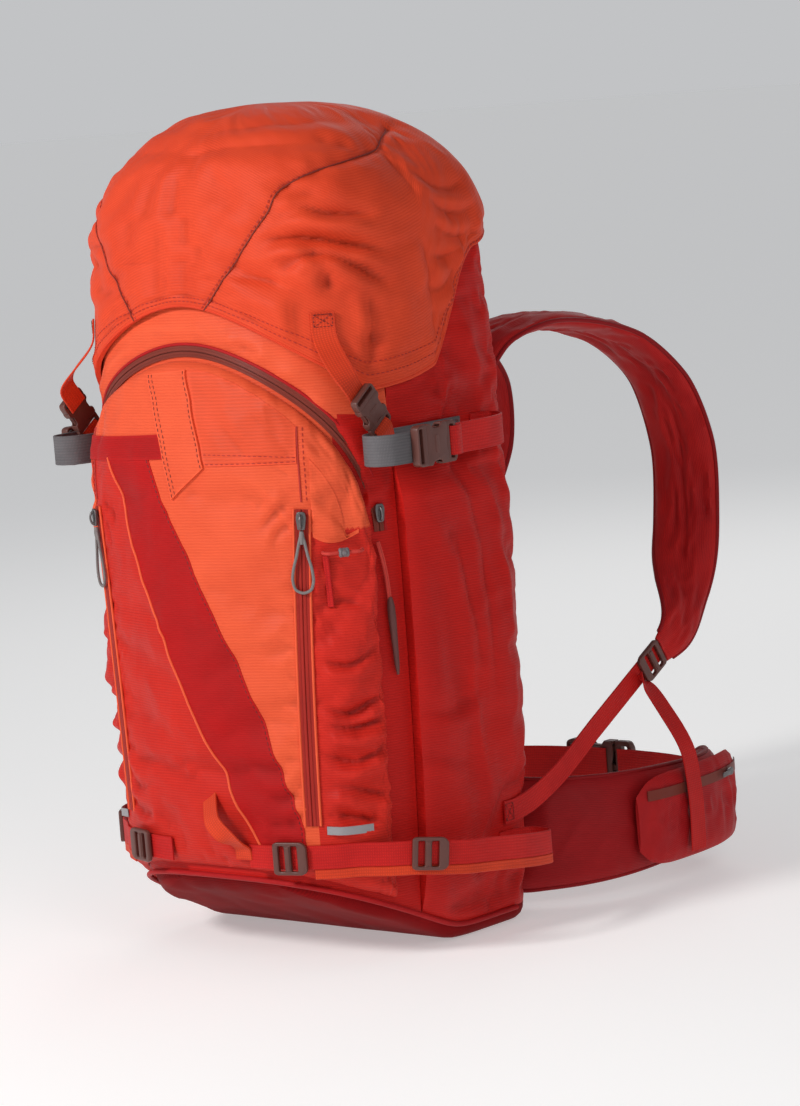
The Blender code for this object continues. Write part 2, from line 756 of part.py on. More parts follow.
# lower ski straps: from the pocket foot, round the corner, out and back to the rear corner
for name, side in SIDES:
    points = []
    for x in (0.044, 0.064, 0.084, 0.102, 0.118, 0.131):
        s = place_at_x(x, LOOP_Z, POCKET_T)
        points.append(lifted(pocket_face, s, LOOP_Z, LAYER + WEB_T / 2))
    for y, inward, drop in ((-0.198, 0.042, 0.05), (-0.182, 0.028, 0.1), (-0.164, 0.012, 0.2),
                            (-0.146, 0.003, 0.3), (-0.125, 0, 0.4), (-0.055, 0, 0.8), (-0.036, 0.005, 0.9),
                            (-0.022, 0.019, 1.0)):
        points.append(at(SKI_OUT - inward, y, LOOP_Z - LOOP_DROP * drop))
    foot_z = LOOP_Z - LOOP_DROP
    points.append(at(sizes(foot_z)[0] + 0.010, -0.0215, foot_z))
    points += [at(sizes(foot_z)[0] + LAYER + WEB_T / 2, y, foot_z) for y in (-0.033, -0.052)]
    line = web_path(points, side)
    keep("ski_loop_" + name, ribbon(line, [Z] * len(line), WEB_20), line[0], RED)
    # front buckle plate, flat on the strap
    mid = points[2]
    along = (points[3] - points[1]).normalized()
    normal = along.cross(Z).normalized()
    if normal.y > 0:
        normal = -normal
    start = mid - along * 0.75 * WEB_20 + normal * (WEB_T / 2 + GAP)
    frame = tuple(mirrored(p, side) for p in (start, along, Z, normal))
    keep("front_buckle_" + name, ladder(frame, WEB_20), mirrored(mid, side), BROWN, 0.5)
    # ladder lock on the run that leaves the corner
    along = (points[8] - points[7]).normalized()
    up = (Z - along * along.z).normalized()
    normal = up.cross(along).normalized()
    if normal.x < 0:
        normal = -normal
    start = points[7].lerp(points[8], 0.5) - along * 0.75 * WEB_20 + normal * (WEB_T / 2 + LAYER)
    frame = tuple(mirrored(p, side) for p in (start, along, up, normal))
    keep("ski_ladder_" + name, ladder(frame, WEB_20), ladder_pin(frame, WEB_20), BROWN, 0.5)

# axe loop, standing off the foot of the pocket
line = []
for x, z, lift in ((0.002, 0.158, 0.0), (0.006, 0.150, 0.001), (0.014, 0.138, 0.010),
                   (0.022, 0.126, 0.017), (0.030, 0.116, 0.015), (0.036, 0.108, 0.008),
                   (0.0375, 0.102, 0.001), (0.0378, 0.093, 0.0)):
    s = place_at_x(x, z, POCKET_T)
    line.append(lifted(pocket_face, s, z, LAYER + WEB_T / 2 + lift))
across = Vector((0.85, 0.0, 0.52))
keep("axe_loop", ribbon(line, [across] * 5 + [X] * 3, 0.012), line[0], RED)

# keeper cord for the axe shaft, with its sliding toggle
CORD_D = 0.003
CORD_Z = 0.345
cord_points = []
for x, lift in ((0.1285, 0.0009), (0.1295, 0.007), (0.132, 0.0105)):
    cord_points.append(lifted(pocket_face, place_at_x(x, CORD_Z, POCKET_T), CORD_Z, lift))
far_side = []
for x, lift in ((0.1475, 0.0105), (0.1492, 0.007), (0.1498, 0.0009)):
    far_side.append(lifted(pocket_face, place_at_x(x, CORD_Z, POCKET_T), CORD_Z, lift))
cord_points += [cord_points[-1].lerp(far_side[0], k) for k in (0.33, 0.67)] + far_side
curve = bpy.data.curves.new("keeper_cord", "CURVE")
curve.dimensions = "3D"
curve.bevel_depth = CORD_D / 2
curve.bevel_resolution = 2
curve.use_fill_caps = True
spline = curve.splines.new("POLY")
spline.points.add(len(cord_points) - 1)
for point, place in zip(spline.points, cord_points):
    point.co = (*(place - cord_points[0]), 1)
cord = bpy.data.objects.new("keeper_cord", curve)
cord.data.materials.append(material("keeper_cord_material", RED, 0.8))
cord.parent = ASSEMBLY
cord.location = cord_points[0]
bpy.context.collection.objects.link(cord)
run = (cord_points[5] - cord_points[2]).normalized()
hole = CORD_D / 2 + 0.0007
middle = cord_points[2].lerp(cord_points[5], 0.5)
frame = (middle, run, Z, run.cross(Z).normalized())
cuts = [-hole - 0.0022, -hole, hole, hole + 0.0022]
body = blocks(frame, [-0.004, 0.004], [c * 1.3 for c in cuts], cuts,
              lambda i, j, k: not (j == 1 and k == 1))
keep("keeper_toggle", body, middle, GREY, 0.5)

# haul loop: its sewn ends hang from the hinge line, so that it can be lifted clear of the wall
line = []
for turn in spread(0, 180, 12):
    x, drop = oval(math.radians(turn), HAUL_X, HAUL_DROP, 3)
    line.append(at(x, 2 * GAP + HAUL_T / 2 + drop * 0.45, HAUL_Z - drop * 0.9))
lean = Vector((0, 0.9, 0.45))
widths = [lean.cross(along) for along in tangents(line)]
keep("haul_loop", ribbon(line, widths, HAUL_W, HAUL_T), at(0, 2 * GAP, HAUL_Z), RED)

# shoulder pads, webbing and ladder locks
LOCK = at(0.163, 0.150, 0.195)
WEB_FOOT = at(0, 0.002, 0.104)
foot = WEB_FOOT + X * (sizes(WEB_FOOT.z)[0] + 0.0035)
lead = (LOCK - foot).normalized()
across = X.cross(lead).normalized()
face = lead.cross(across).normalized()
if face.x < 0:
    face = -face
lock_bar = LOCK + lead * 0.75 * WEB_20 + face * (WEB_T / 2 + GAP)
pad_end = lock_bar + face * 0.0022 + lead * 2 * GAP
pad_line = [at(0.060, PAD_T + 0.0044, 0.400), at(0.062, PAD_T + 0.0074, 0.425),
            at(0.065, PAD_T + 0.0150, 0.452), at(0.071, 0.062, 0.483), at(0.079, 0.110, 0.497),
            at(0.088, 0.170, 0.491), at(0.096, 0.228, 0.470), at(0.104, 0.272, 0.430),
            at(0.113, 0.288, 0.370), at(0.128, 0.266, 0.304), at(0.149, 0.224, 0.250),
            pad_end + lead * 0.020, pad_end]
pad_sides = [X] * 8 + [X + Z * 0.1 + Y * 0.15, X + Y * 0.4 + Z * 0.1, X * 0.55 + Y * 0.6 - Z * 0.5,
                       X * 0.2 + Y * 0.6 - Z * 0.8, Y * 0.6 - Z * 0.8]
reach = [SHOULDER_W * k for k in (0.55, 0.9, 1, 1, 1, 1, 1, 0.97, 0.93, 0.88, 0.76)]
reach += [SHOULDER_END_W, SHOULDER_END_W * 0.8]
bulk = [SHOULDER_T * k for k in (0.5, 0.9, 1, 1, 1, 1, 1, 1, 1, 1, 0.95, 0.7, 0.4)]
for name, side in SIDES:
    out = X * side
    line = web_path(pad_line, side)
    keep("shoulder_pad_" + name, cushion(line, web_path(pad_sides, side), reach, bulk, 0.0025),
         line[0], RED, 0.9, smooth=True)
    sewn_z = WEB_FOOT.z - 0.006
    sewn_x = sizes(sewn_z + WEB_20 / 2)[0] + GAP + WEB_T / 2
    sewn = [at(sewn_x, y, sewn_z) for y in (-0.046, -0.034)]
    legs = sewn + [foot + Vector((-0.001, -0.014, -0.002)), foot + lead * 0.02, foot.lerp(LOCK, 0.5)]
    legs.append(LOCK + lead * 0.012)
    leg = ribbon(web_path(legs, side), [mirrored(across, side)] * len(legs), WEB_20)
    tail_line = [LOCK - lead * 0.020 - face * 0.0002, at(0.168, 0.138, 0.176), at(0.183, 0.145, 0.150),
                 at(0.1985, 0.149, 0.118), at(0.2035, 0.150, 0.080), at(0.2025, 0.150, 0.030)]
    tail = ribbon(web_path(tail_line, side), [mirrored(across, side)] * 2 + [Y] * 4, WEB_20)
    made = keep("shoulder_web_" + name, leg, mirrored(foot, side), RED)
    helper = keep("tail_guide_" + name, tail, mirrored(foot, side), RED)
    helper.hide_render = True
    helper.display_type = "WIRE"
    joined = made.modifiers.new("tail", "BOOLEAN")
    joined.operation = "UNION"
    joined.solver = "EXACT"
    joined.object = helper
    graph = bpy.context.evaluated_depsgraph_get()
    graph.update()
    whole = bpy.data.meshes.new_from_object(made.evaluated_get(graph))
    made.modifiers.clear()
    made.data = whole
    bpy.data.objects.remove(helper, do_unlink=True)
    frame = tuple(mirrored(p, side) for p in (lock_bar, -lead, across, face))
    keep("strap_lock_" + name, ladder(frame, WEB_20), ladder_pin(frame, WEB_20), BROWN, 0.5)


# hip belt round the waist
def waist(angle, out=0.0, z=HIP_Z):
    x, y = oval(math.radians(angle), HIP_HALF + out, HIP_DEPTH + out, HIP_POWER)
    return at(x, HIP_CENTRE + y, z)


wing_turns = spread(HIP_ROOT, HIP_TIP, 14)
for name, side in SIDES:
    line = web_path([waist(a) for a in wing_turns], side)
    heights = [HIP_H + (HIP_END_H - HIP_H) * i / 14 for i in range(15)]
    heights[0] *= 0.9
    heights[-2] *= 0.94
    heights[-1] *= 0.72
    bulk = [HIP_T * k for k in [0.7, 0.95] + [1] * 11 + [0.85, 0.4]]
    keep("hip_wing_" + name, cushion(line, [Z * -side] * 15, heights, bulk, 0.003), line[0],
         RED, 0.9, smooth=True)
    pouch_turns = spread(POUCH_FROM, POUCH_TO, 8)
    lift = HIP_T / 2 + LAYER + POUCH_T / 2
    line = web_path([waist(a, lift) for a in pouch_turns], side)
    tall = [POUCH_H * k for k in (0.80, 0.95, 1, 1, 1, 1, 1, 0.95, 0.80)]
    bulk = [POUCH_T * k for k in (0.45, 0.9, 1, 1, 1, 1, 1, 0.9, 0.45)]
    keep("hip_pouch_" + name, cushion(line, [Z * -side] * 9, tall, bulk), line[0],
         ORANGE, 0.9, smooth=True)
    line = [waist(a) for a in spread(HIP_TIP + 0.25, 75.0, 6)]
    line += [waist(90.0) + X * x for x in (0.030, 0.018, 0.007)]
    line = web_path(line, side)
    keep("hip_web_" + name, ribbon(line, [Z] * len(line), WEB_38), line[0], RED)

HIP_BUCKLE = waist(90.0)
mouth = HIP_BUCKLE + Y * (WEB_T / 2 + 0.17 * WEB_38 + GAP)
frame = (mouth, X, Z, Y)
keep("hip_socket", socket(frame, WEB_38), mouth, BROWN, 0.5)
keep("hip_tongue", tongue(frame, WEB_38), mouth.copy(), BROWN, 0.5)
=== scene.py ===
"""Looks of the ski backpack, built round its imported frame. Metres, Z up, front of the pack on -Y."""
import math

import bmesh
import bpy
import numpy as np
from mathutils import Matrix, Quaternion, Vector, noise
from mathutils.bvhtree import BVHTree


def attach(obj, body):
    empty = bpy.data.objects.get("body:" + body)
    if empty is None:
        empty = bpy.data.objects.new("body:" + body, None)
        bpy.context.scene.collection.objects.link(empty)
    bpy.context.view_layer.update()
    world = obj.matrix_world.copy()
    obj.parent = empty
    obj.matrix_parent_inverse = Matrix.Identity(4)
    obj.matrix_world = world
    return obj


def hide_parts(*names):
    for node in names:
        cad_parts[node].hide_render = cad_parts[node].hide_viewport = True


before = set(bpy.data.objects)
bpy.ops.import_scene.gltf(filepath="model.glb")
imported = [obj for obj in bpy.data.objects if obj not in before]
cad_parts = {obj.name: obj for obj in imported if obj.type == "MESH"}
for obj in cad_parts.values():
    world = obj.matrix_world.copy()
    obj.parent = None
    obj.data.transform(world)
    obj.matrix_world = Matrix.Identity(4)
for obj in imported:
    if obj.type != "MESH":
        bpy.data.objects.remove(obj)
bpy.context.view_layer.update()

# Studio: a pale paper floor, one soft box in front of the pack, a weaker one on its right and one
# behind it. The camera stands where the photograph was taken from.
VIEW_AZIMUTH = 41.1
VIEW_ELEVATION = 7.1
VIEW_ROLL = 4.7
VIEW_DISTANCE = 3.25
VIEW_AIM = Vector((0.039, 0.029, 0.314))
FOCAL_PX = 3793.0
IMAGE_TALL_PX = 1106.0
SENSOR_MM = 36.0
FLOOR_HALF = 60.0
FLOOR_DROP = 0.0004
PAPER = "E4E2DF"
PAPER_GLOW = 0.38


def linear(code):
    """An sRGB hex value as the linear colour that shaders take."""
    parts = [int(code[i:i + 2], 16) / 255 for i in (0, 2, 4)]
    curve = [c / 12.92 if c <= 0.04045 else ((c + 0.055) / 1.055) ** 2.4 for c in parts]
    return (*curve, 1.0)


def add(tree, kind, values=None, links=None, **settings):
    """One shader node with its settings, its input values and its links."""
    node = tree.nodes.new(kind)
    for name, value in settings.items():
        setattr(node, name, value)
    for key, value in (values or {}).items():
        node.inputs[key].default_value = value
    for key, source in (links or {}).items():
        tree.links.new(source, node.inputs[key])
    return node


def new_material(name, code, roughness):
    """A material with one colour and roughness on its shader, and its node tree."""
    made = bpy.data.materials.new(name)
    made.use_nodes = True
    shader = made.node_tree.nodes["Principled BSDF"]
    shader.inputs["Base Color"].default_value = linear(code)
    shader.inputs["Roughness"].default_value = roughness
    return made, made.node_tree, shader


def direction(azimuth, elevation):
    a = math.radians(azimuth)
    e = math.radians(elevation)
    return Vector((math.sin(a) * math.cos(e), -math.cos(a) * math.cos(e), math.sin(e)))


def soft_box(name, azimuth, elevation, distance, size, watts):
    lamp = bpy.data.lights.new(name, "AREA")
    lamp.shape = "DISK"
    lamp.size = size
    lamp.energy = watts
    lit = bpy.data.objects.new(name, lamp)
    lit.location = VIEW_AIM + direction(azimuth, elevation) * distance
    lit.rotation_mode = "QUATERNION"
    lit.rotation_quaternion = (VIEW_AIM - lit.location).to_track_quat("-Z", "Y")
    bpy.context.scene.collection.objects.link(lit)


camera = bpy.data.objects.new("camera", bpy.data.cameras.new("camera"))
camera.data.sensor_width = SENSOR_MM
camera.data.lens = FOCAL_PX / IMAGE_TALL_PX * SENSOR_MM
camera.data.clip_end = 200.0
back = direction(VIEW_AZIMUTH, VIEW_ELEVATION)
camera.location = VIEW_AIM + back * VIEW_DISTANCE
camera.rotation_mode = "QUATERNION"
roll = Quaternion((0, 0, 1), -math.radians(VIEW_ROLL))
camera.rotation_quaternion = (-back).to_track_quat("-Z", "Y") @ roll
bpy.context.scene.collection.objects.link(camera)
bpy.context.scene.camera = camera
bpy.context.scene.view_settings.view_transform = "Standard"

soft_box("key_light", -12, 31, 2.6, 0.6, 43)
soft_box("fill_light", 62, 26, 2.8, 1.3, 12)
soft_box("rear_light", 205, 30, 2.8, 1.3, 9)
world = bpy.data.worlds.new("studio_air")
world.use_nodes = True
tree = world.node_tree
up = add(tree, "ShaderNodeSeparateXYZ", {}, {0: add(tree, "ShaderNodeTexCoord").outputs["Generated"]})
high = add(tree, "ShaderNodeMapRange", {1: 0.12, 2: 0.42, 3: 0.0, 4: 1.0}, {0: up.outputs["Z"]})
air = add(tree, "ShaderNodeMix", {6: linear("C2C3C5"), 7: linear("7C7E82")}, {0: high.outputs[0]},
          data_type="RGBA")
tree.links.new(air.outputs[2], tree.nodes["Background"].inputs["Color"])
bpy.context.scene.world = world
floor_mesh = bpy.data.meshes.new("floor")
corners = [(x, y, -FLOOR_DROP) for x, y in ((-1, -1), (1, -1), (1, 1), (-1, 1))]
floor_mesh.from_pydata([(x * FLOOR_HALF, y * FLOOR_HALF, z) for x, y, z in corners], [], [(0, 1, 2, 3)])
floor = bpy.data.objects.new("floor", floor_mesh)
paper, tree, shader = new_material("matte_paper", PAPER, 0.9)
grain = add(tree, "ShaderNodeTexNoise", {"Scale": 900.0},
            {"Vector": add(tree, "ShaderNodeTexCoord").outputs["Object"]})
bump = add(tree, "ShaderNodeBump", {"Strength": 0.1, "Distance": 0.0002}, {"Height": grain.outputs[0]})
tree.links.new(bump.outputs["Normal"], shader.inputs["Normal"])
shader.inputs["Emission Color"].default_value = linear("F4F5F6")
shader.inputs["Emission Strength"].default_value = PAPER_GLOW
floor_mesh.materials.append(paper)
bpy.context.scene.collection.objects.link(floor)

# Bag walls: front, two sides and rear, cut from coated ripstop nylon and sewn along the rear corners
# and the two front seams. They are full but soft, so each has a slight belly, drawn-in seams and folds.
BACK_Y = 0.055
BAG_TOP = 0.580
BASE_HALF, MID_HALF, TOP_HALF = 0.138, 0.1555, 0.146
BASE_DEPTH, MID_DEPTH, TOP_DEPTH = 0.232, 0.2385, 0.222
BACK_CORNER = 0.030
SIDE_FLAT = 0.100
FRONT_POWER = 3.0
SEAM = 3.22
BASE_T = 0.014
BASE_FLAT = 0.110
BASE_RISE = 0.060
BASE_BEND = 0.009
GAP = 0.0004
LAYER = 0.0009
CLOTH_T = 0.0016
ORANGE = "E45A36"
RED = "C2170F"
DARK_RED = "8E0F14"


def sizes(z):
    """Half width and depth of the bag at a height."""
    t = z / BAG_TOP
    weights = ((1 - t) * (1 - 2 * t), 4 * t * (1 - t), t * (2 * t - 1))
    half = BASE_HALF * weights[0] + MID_HALF * weights[1] + TOP_HALF * weights[2]
    depth = BASE_DEPTH * weights[0] + MID_DEPTH * weights[1] + TOP_DEPTH * weights[2]
    return half, depth


def skin(s, z, out=0.0):
    """Bag surface: s is 0 in the middle of the rear, 2 to 3 on the flat right side, 4 in the middle
    of the front, and then runs by the left side to 8."""
    s, z, out = np.broadcast_arrays(np.asarray(s, float), np.asarray(z, float), np.asarray(out, float))
    half, depth = sizes(z)
    side = np.where((s < 0) | (s > 4), -1.0, 1.0)
    s = np.where(s < 0, -s, np.where(s > 4, 8 - s, s))
    turn = np.clip(s - 1, 0, 1) * math.pi / 2
    corner = BACK_CORNER + out
    angle = np.clip(s - 3, 0, 1) * math.pi / 2
    across = (np.abs(np.cos(angle)) / (half + out)) ** FRONT_POWER
    along = (np.abs(np.sin(angle)) / (depth - SIDE_FLAT + out)) ** FRONT_POWER
    reach = (across + along) ** (-1 / FRONT_POWER)
    parts = [s < 1, s < 2, s < 3]
    x = np.select(parts, [(half - BACK_CORNER) * s, half - BACK_CORNER + corner * np.sin(turn), half + out],
                  reach * np.cos(angle))
    y = np.select(parts, [out, corner * np.cos(turn) - BACK_CORNER,
                          -BACK_CORNER - (SIDE_FLAT - BACK_CORNER) * (s - 2)],
                  -SIDE_FLAT - reach * np.sin(angle))
    return np.stack([side * x, BACK_Y + y, z], -1)


def place_at_x(x, z, out=0.0):
    """Place round the front where the surface has this x."""
    half, depth = sizes(z)
    inside = np.clip(1 - (np.abs(x) / (half + out)) ** FRONT_POWER, 0, 1)
    reach = (depth - SIDE_FLAT + out) * inside ** (1 / FRONT_POWER)
    s = 3 + np.arctan2(reach, np.abs(x)) / (math.pi / 2)
    return np.where(np.asarray(x) < 0, 8 - s, s)


def base_height(y):
    """Underside of the base, bent softly where it starts to rise; y counted from the rear wall."""
    past = np.logaddexp(0, (-y - BASE_FLAT) / BASE_BEND) * BASE_BEND
    return past * BASE_RISE / (BASE_DEPTH - BASE_FLAT)


def rim(s):
    """Lower edge of the walls."""
    return base_height(skin(s, BASE_T)[..., 1] - BACK_Y) + BASE_T + GAP


def unit(v):
    return v / np.maximum(np.linalg.norm(v, axis=-1, keepdims=True), 1e-12)


def outward(face):
    """Normals of a grid of points, away from the middle of the bag."""
    n = unit(np.cross(np.gradient(face, axis=0), np.gradient(face, axis=1)))
    middle = np.array([0.0, BACK_Y - SIDE_FLAT, face[..., 2].mean()])
    return n if ((face - middle) * n).sum() > 0 else -n


def run_length(points, axis):
    """Distance run along one direction of a grid, in metres."""
    steps = np.linalg.norm(np.diff(points, axis=axis), axis=-1)
    first = np.zeros_like(np.take(steps, [0], axis=axis))
    return np.cumsum(np.concatenate([first, steps], axis=axis), axis=axis)


def crumple(u, v, size_u, size_v, seed):
    """Irregular soft folds between -1 and 1, of a given size each way in metres."""
    flat = [noise.noise(Vector((a, b, seed * 7.31))) for a, b in
            zip((u / size_u).ravel(), (v / size_v).ravel())]
    found = np.array(flat).reshape(u.shape)
    return 1 - 2.6 * np.sqrt(found * found + 0.004)


def waver(run, pitch, row, layer=0.0):
    """Smooth irregular values along a run, about one wave to each pitch."""
    found = [noise.noise(Vector((a, row, layer))) for a in (run / pitch).ravel()]
    return np.array(found).reshape(run.shape)


def gathers(along, distance, pitch, reach, depth, seed):
    """Small puckers that a line of stitching draws into the cloth beside it."""
    return depth * 1.8 * waver(along, pitch, seed * 3.7) * np.exp(-np.abs(distance) / reach)


def crease(u, v, path, depth, width):
    """One fold: a sharp valley along a path in (u, v), with a soft ridge on one side, fading at its ends."""
    best = np.full(u.shape, 1e9)
    sided = np.zeros(u.shape)
    share = np.zeros(u.shape)
    count = len(path) - 1
    for i, ((u0, v0), (u1, v1)) in enumerate(zip(path, path[1:])):
        du, dv = u1 - u0, v1 - v0
        long = du * du + dv * dv
        raw = ((u - u0) * du + (v - v0) * dv) / long
        t = np.clip(raw, 0, 1)
        gap = np.hypot(u - u0 - t * du, v - v0 - t * dv)
        near = gap < best
        best = np.where(near, gap, best)
        sided = np.where(near, ((u - u0) * dv - (v - v0) * du) / math.sqrt(long), sided)
        share = np.where(near, (i + t) / count, share)
    past = np.maximum(best - np.abs(sided), 0) / width
    fade = np.sin(np.clip(share, 0, 1) * math.pi) ** 0.6 * np.exp(-past ** 2)
    valley = -np.exp(-best / width)
    ridge = 0.75 * np.exp(-((sided - 1.7 * width) / (1.3 * width)) ** 2)
    return depth * fade * (valley + ridge)


def cloth_piece(name, face, back, cut, wrap=False):
    """Closed cloth between two grids of points; cut gives each point's place in the flat cloth, in metres."""
    n, m = face.shape[:2]
    points = np.concatenate([face.reshape(-1, 3), back.reshape(-1, 3)])
    a = np.arange(n * m).reshape(n, m)
    b = a + n * m
    r = np.arange(n if wrap else n - 1)
    q = (r + 1) % n
    quads = [np.stack([a[r][:, :-1], a[q][:, :-1], a[q][:, 1:], a[r][:, 1:]], -1).reshape(-1, 4)]
    quads.append(quads[0][:, ::-1] + n * m)
    quads.append(np.stack([a[r, 0], b[r, 0], b[q, 0], a[q, 0]], -1))
    quads.append(np.stack([a[r, -1], a[q, -1], b[q, -1], b[r, -1]], -1))
    if not wrap:
        quads.append(np.stack([a[0, :-1], a[0, 1:], b[0, 1:], b[0, :-1]], -1))
        quads.append(np.stack([a[-1, :-1], b[-1, :-1], b[-1, 1:], a[-1, 1:]], -1))
    quads = np.concatenate(quads)
    first = quads[len(r) * (m - 1) // 2]
    corner = points[first]
    if np.dot(np.cross(corner[1] - corner[0], corner[3] - corner[0]), corner[0] - points[first[0] + n * m]) < 0:
        quads = quads[:, ::-1]
    return mesh_piece(name, points, quads.tolist(), np.concatenate([cut.reshape(-1, 2)] * 2))


def mesh_piece(name, points, faces, cut=None, smooth=True):
    """One object from points and faces, with the flat cloth's lengths as its UV map."""
    mesh = bpy.data.meshes.new(name)
    mesh.from_pydata([tuple(p) for p in points], [], faces)
    if cut is not None:
        layer = mesh.uv_layers.new(name="cut")
        loops = np.zeros(len(mesh.loops), np.int32)
        mesh.loops.foreach_get("vertex_index", loops)
        layer.data.foreach_set("uv", np.asarray(cut, np.float32)[loops].ravel())
    if smooth:
        mesh.shade_smooth()
        mesh.set_sharp_from_angle(angle=math.radians(50))
    made = bpy.data.objects.new(name, mesh)
    bpy.context.scene.collection.objects.link(made)
    return made


def fit(piece, finish, body, *nodes):
    """Gives a piece its finish and its body, in place of the nodes that it stands for."""
    piece.data.materials.clear()
    piece.data.materials.append(finish)
    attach(piece, body)
    if nodes:
        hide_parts(*nodes)
    return piece


def paint(piece, finish, chosen):
    """A second cloth on the faces whose middles are chosen."""
    piece.data.materials.append(finish)
    middles = np.zeros(len(piece.data.polygons) * 3)
    piece.data.polygons.foreach_get("center", middles)
    picked = chosen(*middles.reshape(-1, 3).T).astype(np.int32)
    piece.data.polygons.foreach_set("material_index", picked)


def toned(code, times, plus=0.0):
    """A colour made darker or lighter."""
    return (*[min(1, c * times + plus) for c in linear(code)[:3]], 1.0)


def band_scale(pitch_mm):
    """Scale of a band texture whose bands repeat at this pitch."""
    return 2 * math.pi / (20 * pitch_mm / 1000)


def woven_nylon(name, code, shade, rib_mm, grid_mm=0.0, flat_cloth=True, rough=0.55, shine=0.16):
    """Woven nylon with a coated back: fine ribs, flecked yarn, a ripstop grid where grid_mm is set, colour made
    lighter on ridges (partly rub wear, partly painted highlight) and painted shade darkening the creases. Ribs
    are drawn about three times as coarse as real ones, to show."""
    made, tree, shader = new_material(name, code, rough)
    if flat_cloth:
        place = add(tree, "ShaderNodeUVMap", uv_map="cut").outputs["UV"]
    else:
        place = add(tree, "ShaderNodeTexCoord").outputs["Object"]
    ribs = add(tree, "ShaderNodeTexWave", {"Scale": band_scale(rib_mm), "Distortion": 0.8, "Detail": 1.0},
               {"Vector": place}, bands_direction="Y" if flat_cloth else "Z")
    fleck = add(tree, "ShaderNodeTexNoise", {"Scale": 700.0, "Detail": 2.0}, {"Vector": place})
    cloud = add(tree, "ShaderNodeTexNoise", {"Scale": 14.0, "Detail": 3.0, "Roughness": 0.6}, {"Vector": place})
    height = add(tree, "ShaderNodeMath", {1: 0.6}, {0: fleck.outputs[0], 2: ribs.outputs["Fac"]},
                 operation="MULTIPLY_ADD").outputs[0]
    if grid_mm:
        grid = add(tree, "ShaderNodeTexBrick",
                   {"Scale": 1000 / grid_mm, "Mortar Size": 0.07, "Brick Width": 1.0, "Row Height": 1.0},
                   {"Vector": place}, offset=0.0)
        height = add(tree, "ShaderNodeMath", {1: 0.8}, {0: grid.outputs["Fac"], 2: height},
                     operation="MULTIPLY_ADD").outputs[0]
    dark = add(tree, "ShaderNodeMath", {1: 0.35}, {0: ribs.outputs["Fac"], 2: cloud.outputs[0]},
               operation="MULTIPLY_ADD")
    span = add(tree, "ShaderNodeMapRange", {1: 0.35, 2: 1.0, 3: 0.0, 4: 1.0}, {0: dark.outputs[0]})
    cloth = add(tree, "ShaderNodeMix", {6: linear(shade), 7: linear(code)}, {0: span.outputs[0]},
                data_type="RGBA")
    bent = add(tree, "ShaderNodeNewGeometry").outputs["Pointiness"]
    # Ridges lighter: partly rub wear, partly a painted highlight that brings out the folds.
    ridge_lightening = add(tree, "ShaderNodeMapRange", {1: 0.51, 2: 0.57, 3: 0.0, 4: 0.3}, {0: bent})
    # Painted shade: creases and valleys (low pointiness) are darkened towards a deep tone of the cloth.
    deep = add(tree, "ShaderNodeMapRange", {1: 0.42, 2: 0.495, 3: 0.75, 4: 0.0}, {0: bent})
    painted_crease_shade = add(tree, "ShaderNodeMix", {7: toned(shade, 0.35)},
                 {0: deep.outputs[0], 6: cloth.outputs[2]}, data_type="RGBA")
    rubbed = add(tree, "ShaderNodeMix", {7: toned(code, 1.25, 0.004)},
                 {0: ridge_lightening.outputs[0], 6: painted_crease_shade.outputs[2]}, data_type="RGBA")
    bump = add(tree, "ShaderNodeBump", {"Strength": 0.35, "Distance": 0.0003}, {"Height": height})
    gloss = add(tree, "ShaderNodeMapRange", {1: 0.3, 2: 0.7, 3: rough - 0.07, 4: rough + 0.1},
                {0: cloud.outputs[0]})
    tree.links.new(rubbed.outputs[2], shader.inputs["Base Color"])
    tree.links.new(gloss.outputs[0], shader.inputs["Roughness"])
    tree.links.new(bump.outputs["Normal"], shader.inputs["Normal"])
    shader.inputs["Sheen Weight"].default_value = 0.03
    shader.inputs["Sheen Roughness"].default_value = 0.4
    shader.inputs["Specular IOR Level"].default_value = shine
    return made


ripstop_orange = woven_nylon("ripstop_nylon_orange", ORANGE, "D44C2C", 2.4, 7.0)
ripstop_red = woven_nylon("ripstop_nylon_red", RED, "A90F0C", 2.2, 7.0)
ripstop_panel = woven_nylon("ripstop_nylon_panel_red", "CC281A", "B21C14", 2.2, 7.0)
packcloth_dark = woven_nylon("packcloth_nylon_dark_red", DARK_RED, "7A0B10", 1.6)


def lid_edge(s):
    """Lower edge of the lid: high at the rear, lowest at the front corners, raised in front."""
    s = np.minimum(s, 8 - s)
    t = np.clip((s - 2) / 1.3, 0, 1)
    front = np.clip((s - 3.3) / 0.7, 0, 1)
    low = 0.586 + (0.470 - 0.586) * t * t * (3 - 2 * t)
    return np.select([s < 2, s < 3.3], [0.592 - 0.003 * s, low], 0.470 + 0.077 * np.sin(front * math.pi / 2))


